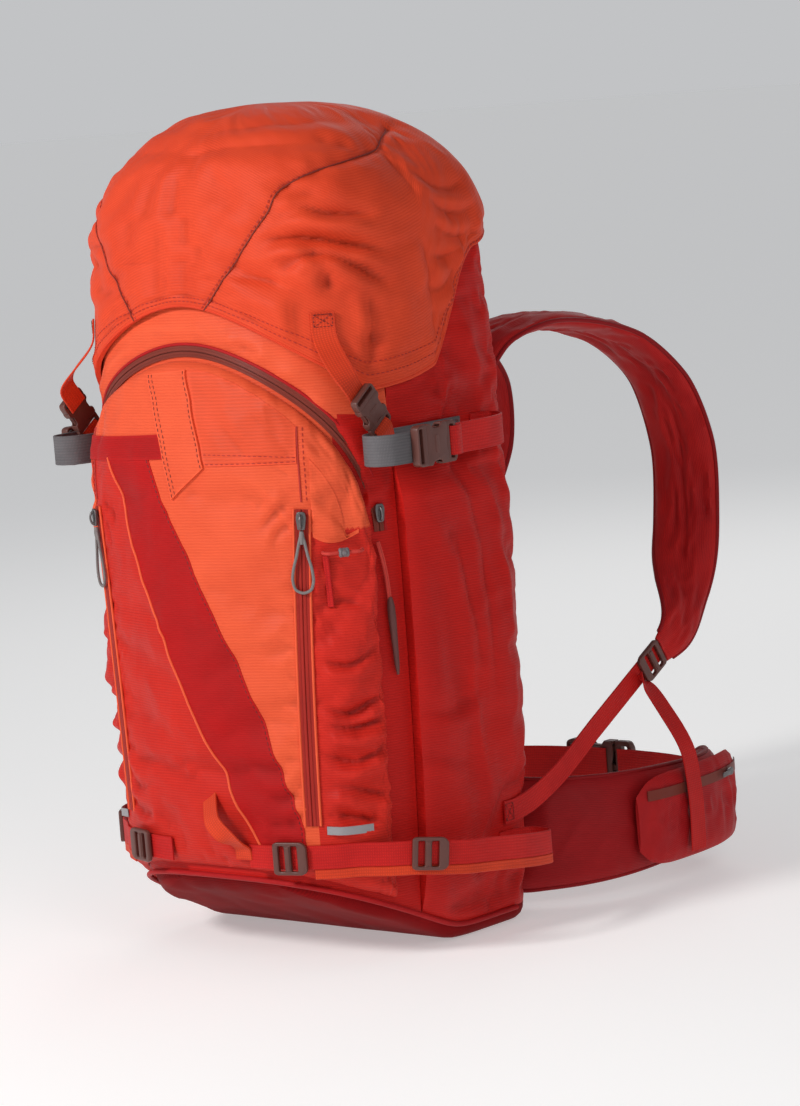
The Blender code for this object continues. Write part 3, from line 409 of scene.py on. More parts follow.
def draped(form, held, grow, push, stiff, wrap=False):
    """Cloth cut a little larger than its form and sewn along its held points settles into folds."""
    n, m = form.shape[:2]
    grid = np.arange(n * m).reshape(n, m)
    here = grid if wrap else grid[:-1]
    after = np.roll(grid, -1, 0) if wrap else grid[1:]
    quads = np.stack([here[:, :-1], after[:, :-1], after[:, 1:], here[:, 1:]], -1).reshape(-1, 4)
    normals = outward(form)
    a, b, c = (form.reshape(-1, 3)[quads[:, k]] for k in (0, 1, 3))
    if (np.cross(b - a, c - a) * normals.reshape(-1, 3)[quads[:, 0]]).sum() < 0:
        quads = quads[:, ::-1]
    made = mesh_piece("settling_cloth", form.reshape(-1, 3), quads.tolist())
    group = made.vertex_groups.new(name="held")
    for i, weight in enumerate(np.clip(held, 0, 1).ravel()):
        if weight > 0.01:
            group.add([i], float(weight), "REPLACE")
    cloth = made.modifiers.new("settling", "CLOTH")
    rules = cloth.settings
    rules.quality = 5
    rules.mass = 0.15
    rules.tension_stiffness = 25
    rules.compression_stiffness = 25
    rules.shear_stiffness = 8
    rules.bending_stiffness = stiff
    rules.air_damping = 3
    rules.vertex_group_mass = "held"
    rules.use_pressure = True
    rules.uniform_pressure_force = push
    rules.shrink_min = -grow
    rules.effector_weights.gravity = 0
    for step in range(1, 26):
        bpy.context.scene.frame_set(step)
    settled = made.evaluated_get(bpy.context.evaluated_depsgraph_get()).to_mesh()
    found = np.zeros(n * m * 3)
    settled.vertices.foreach_get("co", found)
    bpy.data.objects.remove(made, do_unlink=True)
    bpy.context.scene.frame_set(1)
    return ((found.reshape(n, m, 3) - form) * normals).sum(-1)


def finer(values, count, axis, wrap=False):
    """Values of a coarse grid spread smoothly over a finer one."""
    values = np.moveaxis(values, axis, 0)
    if wrap:
        t = np.arange(count) * len(values) / count
        padded = np.concatenate([values[-1:], values, values[:3]])
    else:
        t = np.linspace(0, len(values) - 1, count)
        padded = np.concatenate([2 * values[:1] - values[1:2], values, 2 * values[-1:] - values[-2:-1]])
    i = np.minimum(t.astype(int), len(values) - (1 if wrap else 2))
    f = (t - i)[:, None]
    a, b, c, d = (padded[i + k] for k in range(4))
    done = b + 0.5 * f * (c - a + f * (2 * a - 5 * b + 4 * c - d + f * (3 * (b - c) + d - a)))
    return np.moveaxis(done, 0, axis)


def wall(name, first, last, columns, rows, shape, finish, held=None):
    """One bag wall; shape gives how far its points stand out from the plain surface."""
    s = np.linspace(first, last, columns + 1)[:, None] + np.zeros((1, rows + 1))
    low = rim(s[:, 0])[:, None]
    z = low + (BAG_TOP - low) * np.linspace(0, 1, rows + 1)[None, :]
    plain = skin(s, z)
    cut = np.stack([run_length(plain, 0), z], -1)
    normals = outward(plain)
    bulge = shape(s, z, plain, cut)
    if held:
        move = draped(plain[::2, ::2], held(s, z, plain)[::2, ::2], 0.022, 2.0, 4.0)
        move = finer(finer(move, columns + 1, 0), rows + 1, 1)
        bulge = bulge + np.clip(move, -0.005, 0.008)
    face = plain + normals * bulge[..., None]
    piece = cloth_piece(name, face, plain - normals * CLOTH_T * 1.8, cut)
    return fit(piece, finish, "pack", NODE_OF[name])


NODE_OF = {"wall_front": "front_panel", "wall_rear": "back_panel", "wall_right": "side_panel_right",
           "wall_left": "side_panel_left"}
SKI_Z = 0.425
BAND_X, BAND_Z = 0.128, 0.452
POCKET_S = 3.33


def arch(q):
    """Height of the pocket top: q is 0 in the middle and 1 at the side edge."""
    return 0.502 - 0.146 * (1 - np.sqrt(np.clip(1 - q * q, 0, 1)))


def front_shape(s, z, plain, cut):
    q = (s - 4) / (4 - POCKET_S)
    above_zip = z - np.where(np.abs(q) < 1, arch(q), 0.356) - 0.014
    under_lid = np.maximum(lid_edge(s) - z, 0)
    free = np.clip(above_zip / 0.012, 0, 1) * np.clip(under_lid / 0.014, 0, 1)
    free = free * np.clip((np.minimum(s, 8 - s) - SEAM) / 0.05, 0, 1)
    folds = 0.0026 * crumple(cut[..., 0], z, 0.050, 0.022, 3) + 0.0022
    folds += crease(plain[..., 0], z, [(0.052, 0.520), (0.064, 0.512), (0.080, 0.508)], 0.0026, 0.004)
    folds += crease(plain[..., 0], z, [(0.020, 0.532), (0.034, 0.522), (0.050, 0.519)], 0.0020, 0.004)
    rest = gathers(cut[..., 0], z, 0.02, 0.3, 0.0004, 5)
    return np.where(free > 0, free * folds, np.minimum(rest, 0.0002))


def side_shape(side):
    def shape(s, z, plain, cut):
        y = plain[..., 1] - BACK_Y
        clear = np.clip((lid_edge(s) - z) / 0.02, 0, 1) * np.clip((z - rim(s)) / 0.02, 0, 1)
        clear = clear * np.clip((y + 0.158) / 0.02, 0, 1) * np.clip((-0.006 - y) / 0.02, 0, 1)
        strap = np.clip((np.abs(z - SKI_Z) - 0.014) / 0.03, 0, 1)
        foot = np.clip((np.hypot(y + 0.035, z - 0.085) - 0.028) / 0.03, 0, 1)
        belly = 0.0035 * np.sin(np.clip((z - 0.03) / 0.5, 0, 1) * math.pi)
        folds = 0.0034 * crumple(y + 0.18 * (z - 0.3) * side, z, 0.034, 0.17, 11 + side)
        folds += 0.0016 * crumple(y, z, 0.05, 0.03, 23 + side)
        for path, depth in ((((-0.150, 0.205), (-0.115, 0.198), (-0.085, 0.210)), 0.003),
                            (((-0.150, 0.170), (-0.120, 0.160), (-0.100, 0.150)), 0.0025),
                            (((-0.145, 0.400), (-0.100, 0.330), (-0.080, 0.230)), 0.0035),
                            (((-0.090, 0.405), (-0.070, 0.330), (-0.064, 0.200)), 0.003),
                            (((-0.140, 0.500), (-0.110, 0.470), (-0.085, 0.448)), 0.0025)):
            folds += crease(y, z, list(path), depth, 0.006)
        return clear * strap * foot * (belly + np.clip(folds, -0.005, 0.0045))
    return shape


def side_held(s, z, plain):
    """Where a side wall is sewn or lies under something: all its edges, the strap ends and the lid."""
    y = plain[..., 1] - BACK_Y
    held = np.maximum.reduce([1 - (z - rim(s)) / 0.010, 1 - (y + 0.165) / 0.010, 1 - (-0.004 - y) / 0.010,
                              1 + (z - lid_edge(s)) / 0.012, 1.6 - np.abs(z - SKI_Z) / 0.012,
                              1.4 - np.hypot(y + 0.035, z - 0.088) / 0.022])
    return np.clip(held, 0, 1)


def rear_shape(s, z, plain, cut):
    return np.minimum(0.0006 * crumple(cut[..., 0], z, 0.05, 0.05, 41), 0.0002)


front = wall("wall_front", SEAM + 0.004, 8 - SEAM - 0.004, 150, 150, front_shape, ripstop_orange)
paint(front, ripstop_red, lambda x, y, z: (np.abs(x) > BAND_X) & (z < BAND_Z) | (z < 0.12))
SIDES = (("right", 1), ("left", -1))
wall("wall_right", 1.002, SEAM, 60, 170, side_shape(1), ripstop_red, side_held)
wall("wall_left", 8 - SEAM, 6.998, 60, 170, side_shape(-1), ripstop_red, side_held)
wall("wall_rear", -1, 1, 40, 60, rear_shape, ripstop_red)

# Base: a tougher panel folded up all round, rounded where it meets the floor, with a corded seam
# where the walls are sewn to it.
PIPING_R = 0.0022
BASE_ROUND = BASE_T * 0.95


def swept(name, line, sides, profile):
    """Closed body of a profile drawn along a line; profile points are (across, up) in metres and may
    change from section to section."""
    along = unit(np.gradient(line, axis=0))
    across = unit(sides - along * (sides * along).sum(-1, keepdims=True))
    up = np.cross(along, across)
    profile = np.asarray(profile, float)
    profile = np.broadcast_to(profile, (len(line), *profile.shape[-2:]))
    n, k = profile.shape[:2]
    points = line[:, None] + across[:, None] * profile[..., :1] + up[:, None] * profile[..., 1:]
    run = np.broadcast_to(run_length(line, 0)[:, None], (n, k))
    round_ = run_length(profile, 1)
    grid = np.arange(n * k).reshape(n, k)
    after = np.roll(grid, -1, axis=1)
    quads = np.stack([grid[:-1], after[:-1], after[1:], grid[1:]], -1).reshape(-1, 4).tolist()
    ends = np.concatenate([points.reshape(-1, 3), points[[0, -1]].mean(1)])
    for row, tip in ((grid[0], n * k), (grid[-1], n * k + 1)):
        quads += [[int(row[i]), int(row[(i + 1) % k]), tip] for i in range(k)]
    cut = np.concatenate([np.stack([run, round_], -1).reshape(-1, 2), [[0, 0], [run[-1, 0], 0]]])
    made = mesh_piece(name, ends, quads, cut)
    outside(made.data)
    return made


def outside(mesh):
    """Turns every face outwards."""
    body = bmesh.new()
    body.from_mesh(mesh)
    bmesh.ops.recalc_face_normals(body, faces=body.faces)
    body.to_mesh(mesh)
    body.free()


def tube(name, line, radius, sides=10):
    """Round cord along a line."""
    turn = np.linspace(0, 2 * math.pi, sides + 1)[:-1]
    along = unit(np.gradient(line, axis=0))
    up = np.zeros_like(line)
    up[0] = unit(np.cross(along[0], [0.3, 0.5, 0.81]))
    for i in range(1, len(line)):
        up[i] = unit(up[i - 1] - along[i] * np.dot(up[i - 1], along[i]))
    ring = np.stack([np.cos(turn), np.sin(turn)], -1)
    return swept(name, line, up, ring * np.broadcast_to(radius, len(line))[:, None, None])


def smooth_line(points, count, *carried):
    """Evenly spaced points of a smooth line through the given ones, and values carried along it."""
    line = np.array([tuple(p) for p in points], float)
    run = np.concatenate([[0], np.cumsum(np.linalg.norm(np.diff(line, axis=0), axis=1))])
    want = np.linspace(0, run[-1], count)
    i = np.clip(np.searchsorted(run, want, "right") - 1, 0, len(run) - 2)
    h = np.diff(run)[:, None]
    t = ((want - run[i]) / h[i, 0])[:, None]
    found = []
    for values in (line, *carried):
        v = np.array([tuple(p) if hasattr(p, "__len__") else (p,) for p in values], float)
        slope = np.diff(v, axis=0) / h
        inner = (slope[1:] * h[:-1] + slope[:-1] * h[1:]) / (h[1:] + h[:-1])
        tangent = np.concatenate([slope[:1], inner, slope[-1:]]) * 0.9
        found.append((2 * t ** 3 - 3 * t ** 2 + 1) * v[i] + (t ** 3 - 2 * t ** 2 + t) * tangent[i] * h[i] +
                     (3 * t ** 2 - 2 * t ** 3) * v[i + 1] + (t ** 3 - t ** 2) * tangent[i + 1] * h[i])
    return found


def joined(name, *parts):
    """Several objects as one."""
    body = bmesh.new()
    for part in parts:
        body.from_mesh(part.data)
    layer = parts[0].data
    body.to_mesh(layer)
    body.free()
    layer.shade_smooth()
    layer.set_sharp_from_angle(angle=math.radians(50))
    for part in parts[1:]:
        bpy.data.objects.remove(part, do_unlink=True)
    parts[0].name = name
    return parts[0]


rows = np.linspace(1.0, 3.95, 70)
edge = skin(rows, BASE_T)
low = base_height(edge[:, 1] - BACK_Y)
run = np.linspace(-1, 1, 61)
half = np.maximum(edge[:, 0], 0.012)[:, None]
flat = half - BASE_ROUND
length = (flat + BASE_ROUND * math.pi / 2) * np.abs(run)
turn = np.maximum(length - flat, 0) / BASE_ROUND
x = np.sign(run) * (np.minimum(length, flat) + BASE_ROUND * np.sin(turn))
rise = BASE_ROUND * (1 - np.cos(turn))
y = edge[:, 1:2] + 0 * x
front = np.clip((BACK_Y - y - BASE_DEPTH + 0.016) / 0.016, 0, 1)
rear = np.clip((y - BACK_Y + 0.010) / 0.010, 0, 1)
rise = np.maximum(rise, 0.013 * (1 - np.sqrt(1 - np.maximum(front, rear) ** 2)))
face = np.stack([x, y, low[:, None] + rise], -1)
sag = 0.0024 * crumple(x, y, 0.05, 0.04, 61) * np.clip((0.0135 - rise) / 0.004, 0, 1)
face[..., 2] += np.maximum(sag + 0.0006, 0) * np.clip((BACK_Y - y - BASE_FLAT) / 0.02, 0, 1)
top = np.stack([x, y, low[:, None] + BASE_T + 0 * x], -1)
coated_base = woven_nylon("coated_nylon_dark_red", "8A0D10", "6A070A", 1.2, rough=0.7, shine=0.05)
fit(cloth_piece("base", face, top, face[..., :2]), coated_base, "pack", "base_panel")
places = np.linspace(2.0, 6.0, 220)
piping = tube("base_piping", skin(places, rim(places) - 0.0012, 0.0016), PIPING_R)
braid_red = woven_nylon("braided_piping_red", "B01518", "8C0E12", 0.9)
fit(piping, braid_red, "pack")
for name, side in SIDES:
    heights = np.linspace(0.030, BAG_TOP, 120)
    corner = skin(np.full(120, 1.0), heights, 0.0006) * np.array([side, 1, 1])
    fit(tube("rear_seam_piping_" + name, corner, 0.0017, 8), braid_red, "pack")
    across_s = np.linspace(SEAM + 0.006, place_at_x(BAND_X, BAND_Z), 24)
    joint = skin(across_s, BAND_Z, 0.0005) * np.array([side, 1, 1])
    fit(tube("band_seam_" + name, joint, 0.0008, 6), braid_red, "pack")
mouth_line = skin(np.linspace(0, 8, 321), BAG_TOP, -0.0014)
fit(tube("mouth_binding", mouth_line, 0.0016, 8), packcloth_dark, "pack")

# Collar: a thin gathered tube sewn inside the bag mouth and drawn in by a hem cord.
COLLAR_FOOT, COLLAR_TOP = 0.560, 0.606
COLLAR_LEAN = 0.020
COLLAR_IN = 0.0049
around = np.linspace(0, 8, 321)[:-1, None]
level = np.linspace(0, 1, 15)[None, :]
z = COLLAR_FOOT + (COLLAR_TOP - COLLAR_FOOT) * level + 0 * around
lean = np.interp(z, (COLLAR_FOOT, BAG_TOP, COLLAR_TOP), (0.0, 0.3, 1.0))
plain = skin(around, z, -COLLAR_IN - COLLAR_LEAN * lean)
run = run_length(plain, 0)
tuck = 0.0022 * lean * (crumple(run, z, 0.011, 0.2, 71) - 1)
face = plain + outward(plain) * tuck[..., None]
collar = cloth_piece("collar_cloth", face, face - outward(plain) * 0.0012, np.stack([run, z], -1), wrap=True)
fit(collar, packcloth_dark, "pack", "collar")
hem = np.concatenate([face[:, -1], face[:1, -1]])
fit(tube("collar_hem", hem, 0.0018, 8), braid_red, "pack")

# Frame: a sheet of polyethylene with lightening slots, and two aluminium stays in front of it.
# Both slide into a sleeve inside the rear wall.


def rounded(points, radius, steps=4):
    """A polygon with its corners rounded."""
    done = []
    count = len(points)
    for i, point in enumerate(points):
        here = np.array(point, float)
        before = np.array(points[i - 1], float) - here
        after = np.array(points[(i + 1) % count], float) - here
        r = min(radius, np.linalg.norm(before) * 0.49, np.linalg.norm(after) * 0.49)
        a = here + unit(before) * r
        b = here + unit(after) * r
        for t in np.linspace(0, 1, steps + 1):
            done.append(tuple((1 - t) ** 2 * a + 2 * t * (1 - t) * here + t * t * b))
    return done


def oblong(u0, u1, v0, v1, radius):
    return rounded([(u0, v0), (u1, v0), (u1, v1), (u0, v1)], radius)


def moulded(name, plates, place):
    """Moulded or stamped piece: each plate is (outlines, low, high, edge radius) in millimetres; place
    is (origin, u, v, w)."""
    origin, u, v, w = (np.array(tuple(p), float) for p in place)
    points = []
    faces = []
    for loops, low, high, edge in plates:
        curve = bpy.data.curves.new(name, "CURVE")
        curve.dimensions = "2D"
        curve.fill_mode = "BOTH"
        curve.extrude = (high - low) / 2 - edge
        curve.bevel_depth = edge
        curve.bevel_resolution = 2
        curve.offset = -edge
        for loop in loops:
            spline = curve.splines.new("POLY")
            spline.points.add(len(loop) - 1)
            spline.use_cyclic_u = True
            for point, (a, b) in zip(spline.points, loop):
                point.co = (a, b, 0, 1)
        holder = bpy.data.objects.new(name, curve)
        bpy.context.scene.collection.objects.link(holder)
        graph = bpy.context.evaluated_depsgraph_get()
        mesh = bpy.data.meshes.new_from_object(holder.evaluated_get(graph))
        start = len(points)
        for vert in mesh.vertices:
            a, b, c = vert.co
            c += (low + high) / 2
            points.append(origin + (u * a + v * b + w * c) / 1000)
        faces += [[start + i for i in face.vertices] for face in mesh.polygons]
        bpy.data.objects.remove(holder, do_unlink=True)
        bpy.data.meshes.remove(mesh)
        bpy.data.curves.remove(curve)
    made = mesh_piece(name, points, faces)
    body = bmesh.new()
    body.from_mesh(made.data)
    bmesh.ops.remove_doubles(body, verts=body.verts, dist=1e-7)
    bmesh.ops.recalc_face_normals(body, faces=body.faces)
    body.to_mesh(made.data)
    body.free()
    made.data.shade_smooth()
    made.data.set_sharp_from_angle(angle=math.radians(32))
    return made


def hard(name, code, rough, metal, grain_mm, streak=1.0):
    """Plastic or metal with a fine surface grain and rubbed edges."""
    made, tree, shader = new_material(name, code, rough)
    shader.inputs["Metallic"].default_value = metal
    place = add(tree, "ShaderNodeTexCoord").outputs["Object"]
    drawn = add(tree, "ShaderNodeMapping", {"Scale": (1.0, 1.0, streak)}, {"Vector": place})
    grain = add(tree, "ShaderNodeTexNoise", {"Scale": 1000 / grain_mm, "Detail": 3.0},
                {"Vector": drawn.outputs[0]})
    cloud = add(tree, "ShaderNodeTexNoise", {"Scale": 90.0, "Detail": 3.0}, {"Vector": place})
    edge = add(tree, "ShaderNodeMapRange", {1: 0.52, 2: 0.62, 3: 0.0, 4: 0.35},
               {0: add(tree, "ShaderNodeNewGeometry").outputs["Pointiness"]})
    tone = add(tree, "ShaderNodeMapRange", {1: 0.3, 2: 0.7, 3: 0.0, 4: 0.4}, {0: cloud.outputs[0]})
    dull = add(tree, "ShaderNodeMix", {6: linear(code), 7: toned(code, 0.6)},
               {0: tone.outputs[0]}, data_type="RGBA")
    ridge_lightening = add(tree, "ShaderNodeMix", {7: toned(code, 1.7, 0.02)},
               {0: edge.outputs[0], 6: dull.outputs[2]}, data_type="RGBA")
    gloss = add(tree, "ShaderNodeMapRange", {1: 0.3, 2: 0.7, 3: rough - 0.08, 4: rough + 0.1},
                {0: grain.outputs[0]})
    bump = add(tree, "ShaderNodeBump", {"Strength": 0.25, "Distance": 0.00015}, {"Height": grain.outputs[0]})
    tree.links.new(ridge_lightening.outputs[2], shader.inputs["Base Color"])
    tree.links.new(gloss.outputs[0], shader.inputs["Roughness"])
    tree.links.new(bump.outputs["Normal"], shader.inputs["Normal"])
    return made


X, Y, Z = Vector((1, 0, 0)), Vector((0, 1, 0)), Vector((0, 0, 1))
polyethylene = hard("polyethylene_sheet_black", "242426", 0.5, 0.0, 0.6)
aluminium = hard("anodised_aluminium", "A9ABB0", 0.35, 1.0, 0.3, 0.05)
slots = [oblong(x - 9, x + 9, z - 62, z + 62, 9) for x in (-22, 22) for z in (140, 290, 440)]
sheet = moulded("frame_board", [([oblong(-103.5, 103.5, 30.5, 549.5, 24)] + slots, 0.1, 1.5, 0.3)],
                (Vector((0, BACK_Y - 0.0044, 0)), X, Z, -Y))
fit(sheet, polyethylene, "pack", "frame_sheet")
for name, side in SIDES:
    stay = moulded("stay_" + name, [([oblong(-9.8, 9.8, 30.5, 549.5, 9.5), oblong(-2, 2, 500, 540, 2)],
                                     0.1, 2.9, 0.5)],
                   (Vector((side * 0.062, BACK_Y - 0.0064, 0)), X, Z, -Y))
    fit(stay, aluminium, "pack", "frame_stay_" + name)

# Back and lumbar pads: foam under knitted spacer mesh, quilted down along sunk air channels and bound
# at the edge. They carry the load, so their corners are soft.
CHANNEL_W = 0.016
CHANNEL_D = 0.009


def spacer_mesh(name, code, hole_mm):
    """Knitted mesh: rows of small open holes over a darker ground, drawn at twice the real pitch."""
    made, tree, shader = new_material(name, code, 0.85)
    place = add(tree, "ShaderNodeUVMap", uv_map="cut").outputs["UV"]
    cells = add(tree, "ShaderNodeTexVoronoi", {"Scale": 1000 / hole_mm, "Randomness": 0.15}, {"Vector": place})
    fuzz = add(tree, "ShaderNodeTexNoise", {"Scale": 1600.0, "Detail": 2.0}, {"Vector": place})
    hole = add(tree, "ShaderNodeMapRange", {1: 0.18, 2: 0.42, 3: 0.0, 4: 1.0}, {0: cells.outputs["Distance"]})
    tone = add(tree, "ShaderNodeMix", {6: toned(code, 0.25), 7: linear(code)},
               {0: hole.outputs[0]}, data_type="RGBA")
    height = add(tree, "ShaderNodeMath", {1: 0.3}, {0: fuzz.outputs[0], 2: hole.outputs[0]},
                 operation="MULTIPLY_ADD")
    bump = add(tree, "ShaderNodeBump", {"Strength": 0.6, "Distance": 0.0006}, {"Height": height.outputs[0]})
    tree.links.new(tone.outputs[2], shader.inputs["Base Color"])
    tree.links.new(bump.outputs["Normal"], shader.inputs["Normal"])
    shader.inputs["Sheen Weight"].default_value = 0.2
    return made


def back_cushion(name, node, half, low, high, thick, edge, cuts, finish):
    """Quilted pad on the rear wall with rounded corners."""
    u = np.linspace(-1, 1, 91)[:, None]
    v = np.linspace(-1, 1, int((high - low) / 0.0022))[None, :]
    x = u * half * np.sqrt(1 - 0.03 * v ** 8)
    z = (low + high) / 2 + v * (high - low) / 2 * np.sqrt(1 - 0.02 * u ** 8)
    inset = np.minimum((1 - np.abs(u)) * half, (1 - np.abs(v)) * (high - low) / 2)
    crown = np.sin(np.clip(inset / 0.024, 0, 1) * math.pi / 2) ** 0.8
    t = edge * 0.6 + (thick - edge * 0.6) * crown
    sunk = 1 - np.abs(x) / CHANNEL_W
    for cut in cuts:
        sunk = np.maximum(sunk, 1 - np.abs(z - cut) / CHANNEL_W)
    sunk = np.clip(sunk, 0, 1)
    t = t - CHANNEL_D * sunk * sunk * (3 - 2 * sunk) * np.clip(inset / 0.012, 0, 1)
    t = t + 0.0012 * crumple(x, z, 0.045, 0.05, 83) * np.clip(inset / 0.02, 0, 1) - 0.0006
    face = np.stack([x, BACK_Y + GAP + t, z], -1)
    flat = np.stack([x, BACK_Y + GAP + 0 * t, z], -1)
    pad = fit(cloth_piece(name, face, flat, np.stack([x, z], -1)), finish, "pack", node)
    ring = [face[:, 0], face[-1], face[::-1, -1], face[0, ::-1]]
    bound = np.concatenate(ring)[::2] - np.array([0, edge * 0.25, 0])
    binding = tube(name + "_binding", np.concatenate([bound, bound[:1]]), 0.0021, 8)
    fit(binding, packcloth_dark, "pack")


mesh_black = spacer_mesh("spacer_mesh_charcoal", "3A3A3E", 3.4)
PAD_CUTS = [0.120 + 0.380 * k for k in (0.34, 0.67)]
back_cushion("back_cushion", "back_pad", 0.104, 0.120, 0.500, 0.020, 0.005, PAD_CUTS, mesh_black)
back_cushion("lumbar_cushion", "lumbar_pad", 0.0826, 0.012, 0.112, 0.024, 0.018, [], mesh_black)

# Front pocket: a bellowed panel of ripstop over the bag front, cut to an arch, with a raised pleat,
# a yoke on its right, a dark diagonal stripe and a flat dark strap sewn to it.
POCKET_T = 0.012
POCKET_LIFT = 0.008
POCKET_KNEE = 0.400
ZIP_TOP = (0.116, 0.381)
ZIP_LOW = (0.104, 0.122)
FLAP_Z = 0.352
LOOP_Z = 0.096
RED_TOP, RED_FOOT = 0.430, 0.088
STRIPE_TOP, STRIPE_FOOT = 0.424, 0.090
STRIPE_LEFT = np.polyfit((0.424, 0.308, 0.214, 0.122), (-0.081, -0.035, 0.005, 0.047), 2)
STRIPE_RIGHT = np.polyfit((0.424, 0.310, 0.216, 0.122), (-0.026, 0.030, 0.068, 0.096), 2)


def pocket_low(s):
    return rim(s) + POCKET_LIFT


def pocket_face(s, z, out=0.0):
    """Outer face of the pocket, straight from its foot to the knee."""
    s, z, out = np.broadcast_arrays(np.asarray(s, float), np.asarray(z, float), np.asarray(out, float))
    low = pocket_low(s)
    t = np.minimum((z - low) / (POCKET_KNEE - low), 1)[..., None]
    straight = skin(s, low, POCKET_T + out) * (1 - t) + skin(s, POCKET_KNEE, POCKET_T + out) * t
    return np.where((z > POCKET_KNEE)[..., None], skin(s, z, POCKET_T + out), straight)


def facing(surface, s, z):
    """Outward direction of a surface."""
    around = surface(s + 0.01, z) - surface(s - 0.01, z)
    up = surface(s, z + 0.004) - surface(s, z - 0.004)
    n = unit(np.cross(around, up))
    away = surface(s, z) - np.stack([0 * z, 0 * z + BACK_Y - SIDE_FLAT, z], -1)
    return np.where((n * away).sum(-1, keepdims=True) < 0, -n, n)


def lifted(surface, s, z, lift):
    s = np.asarray(s, float)
    z = np.asarray(z, float)
    return surface(s, z) + facing(surface, s, z) * np.asarray(lift)[..., None]


def from_line(points, normals, line):
    """Distance of each point from a line, the run along it, the signed side and the share of its length."""
    line = np.asarray(line, float)
    lengths = np.linalg.norm(np.diff(line, axis=0), axis=-1)
    starts = np.concatenate([[0], np.cumsum(lengths)])
    best = np.full(points.shape[:-1], 1e9)
    run = np.zeros_like(best)
    sided = np.zeros_like(best)
    for a, b, long, start in zip(line, line[1:], lengths, starts):
        ahead = (b - a) / long
        offset = points - a
        t = np.clip(offset @ ahead, 0, long)
        gap = offset - t[..., None] * ahead
        far = np.linalg.norm(gap, axis=-1)
        near = far < best
        best = np.where(near, far, best)
        run = np.where(near, start + t, run)
        sided = np.where(near, (np.cross(ahead, normals) * gap).sum(-1), sided)
    return best, run, sided, run / starts[-1]


def fold(points, normals, line, depth, width, ridge=0.8):
    """A fold in the cloth: a sharp valley along a line beside a soft ridge, fading at both ends."""
    best, run, sided, share = from_line(points, normals, line)
    fade = np.sin(np.clip(share, 0.02, 0.98) * math.pi) ** 0.5
    past = np.maximum(best ** 2 - sided ** 2, 0) ** 0.5
    fade = fade * np.exp(-(past / (1.5 * width)) ** 2)
    valley = -np.exp(-(best / width) ** 1.3)
    return depth * fade * (valley + ridge * np.exp(-((sided - 1.9 * width) / (1.4 * width)) ** 2))


def sewn(points, normals, line, depth, width, pucker, pitch, seed):
    """A seam that draws the cloth in along a line and puckers it on both sides."""
    best, run, sided, share = from_line(points, normals, line)
    groove = -depth * np.exp(-(best / width) ** 2)
    small = np.array([noise.noise(Vector((r / pitch, np.sign(d) * 9.1, seed))) for r, d in
                      zip(run.ravel(), sided.ravel())]).reshape(run.shape)
    return groove + pucker * 1.8 * small * np.exp(-best / (2.6 * width)) * (1 - np.exp(-best / (0.6 * width)))


def red_part(x, y, z):
    """The pocket's red cloth: outside the zips, left of the stripe and along the foot."""
    zip_x = np.interp(z, (ZIP_LOW[1], ZIP_TOP[1]), (ZIP_LOW[0], ZIP_TOP[0]))
    outside_zips = (np.abs(x) > zip_x + 0.003) & (z < FLAP_Z + 0.010)
    left_of_stripe = (x < np.polyval(STRIPE_LEFT, z) + 0.008) & (z < RED_TOP)
    return outside_zips | left_of_stripe | (z < RED_FOOT)


def place_front(pairs):
    """A smooth line on the pocket through (x, z) pairs."""
    x, z = smooth_line([(a, b, 0) for a, b in pairs], 16)[0].T[:2]
    return pocket_face(place_at_x(x, z, POCKET_T), z)


turn = np.radians(np.linspace(-90, 90, 241))[:, None]
q = np.sin(turn)
s = 4 + q * (4 - POCKET_S)
low = pocket_low(s)
high = arch(q)
z = low + (high - low) * np.linspace(0, 1, 181)[None, :]
s = s + 0 * z
middle = pocket_face(s, z)
run_s = run_length(middle, 0)
run_s = run_s - run_s[120]
inset = np.minimum(np.minimum(z - low, (high - z) * (0.25 + 0.75 * np.cos(turn))), run_s[-1] - np.abs(run_s))
inset = np.maximum(inset, 0)
soft = POCKET_T - 0.0085 * np.exp(-inset / 0.007)
fill = np.clip(1 - (np.abs(middle[..., 0]) / 0.094) ** 2, 0, 1)
fill = fill * np.sin(np.clip((z - 0.170) / 0.300, 0, 1) * math.pi) ** 0.7
plain = pocket_face(s, z, soft - POCKET_T + 0.006 * fill)
normals = outward(plain)
x = middle[..., 0]
bulge = 0 * z
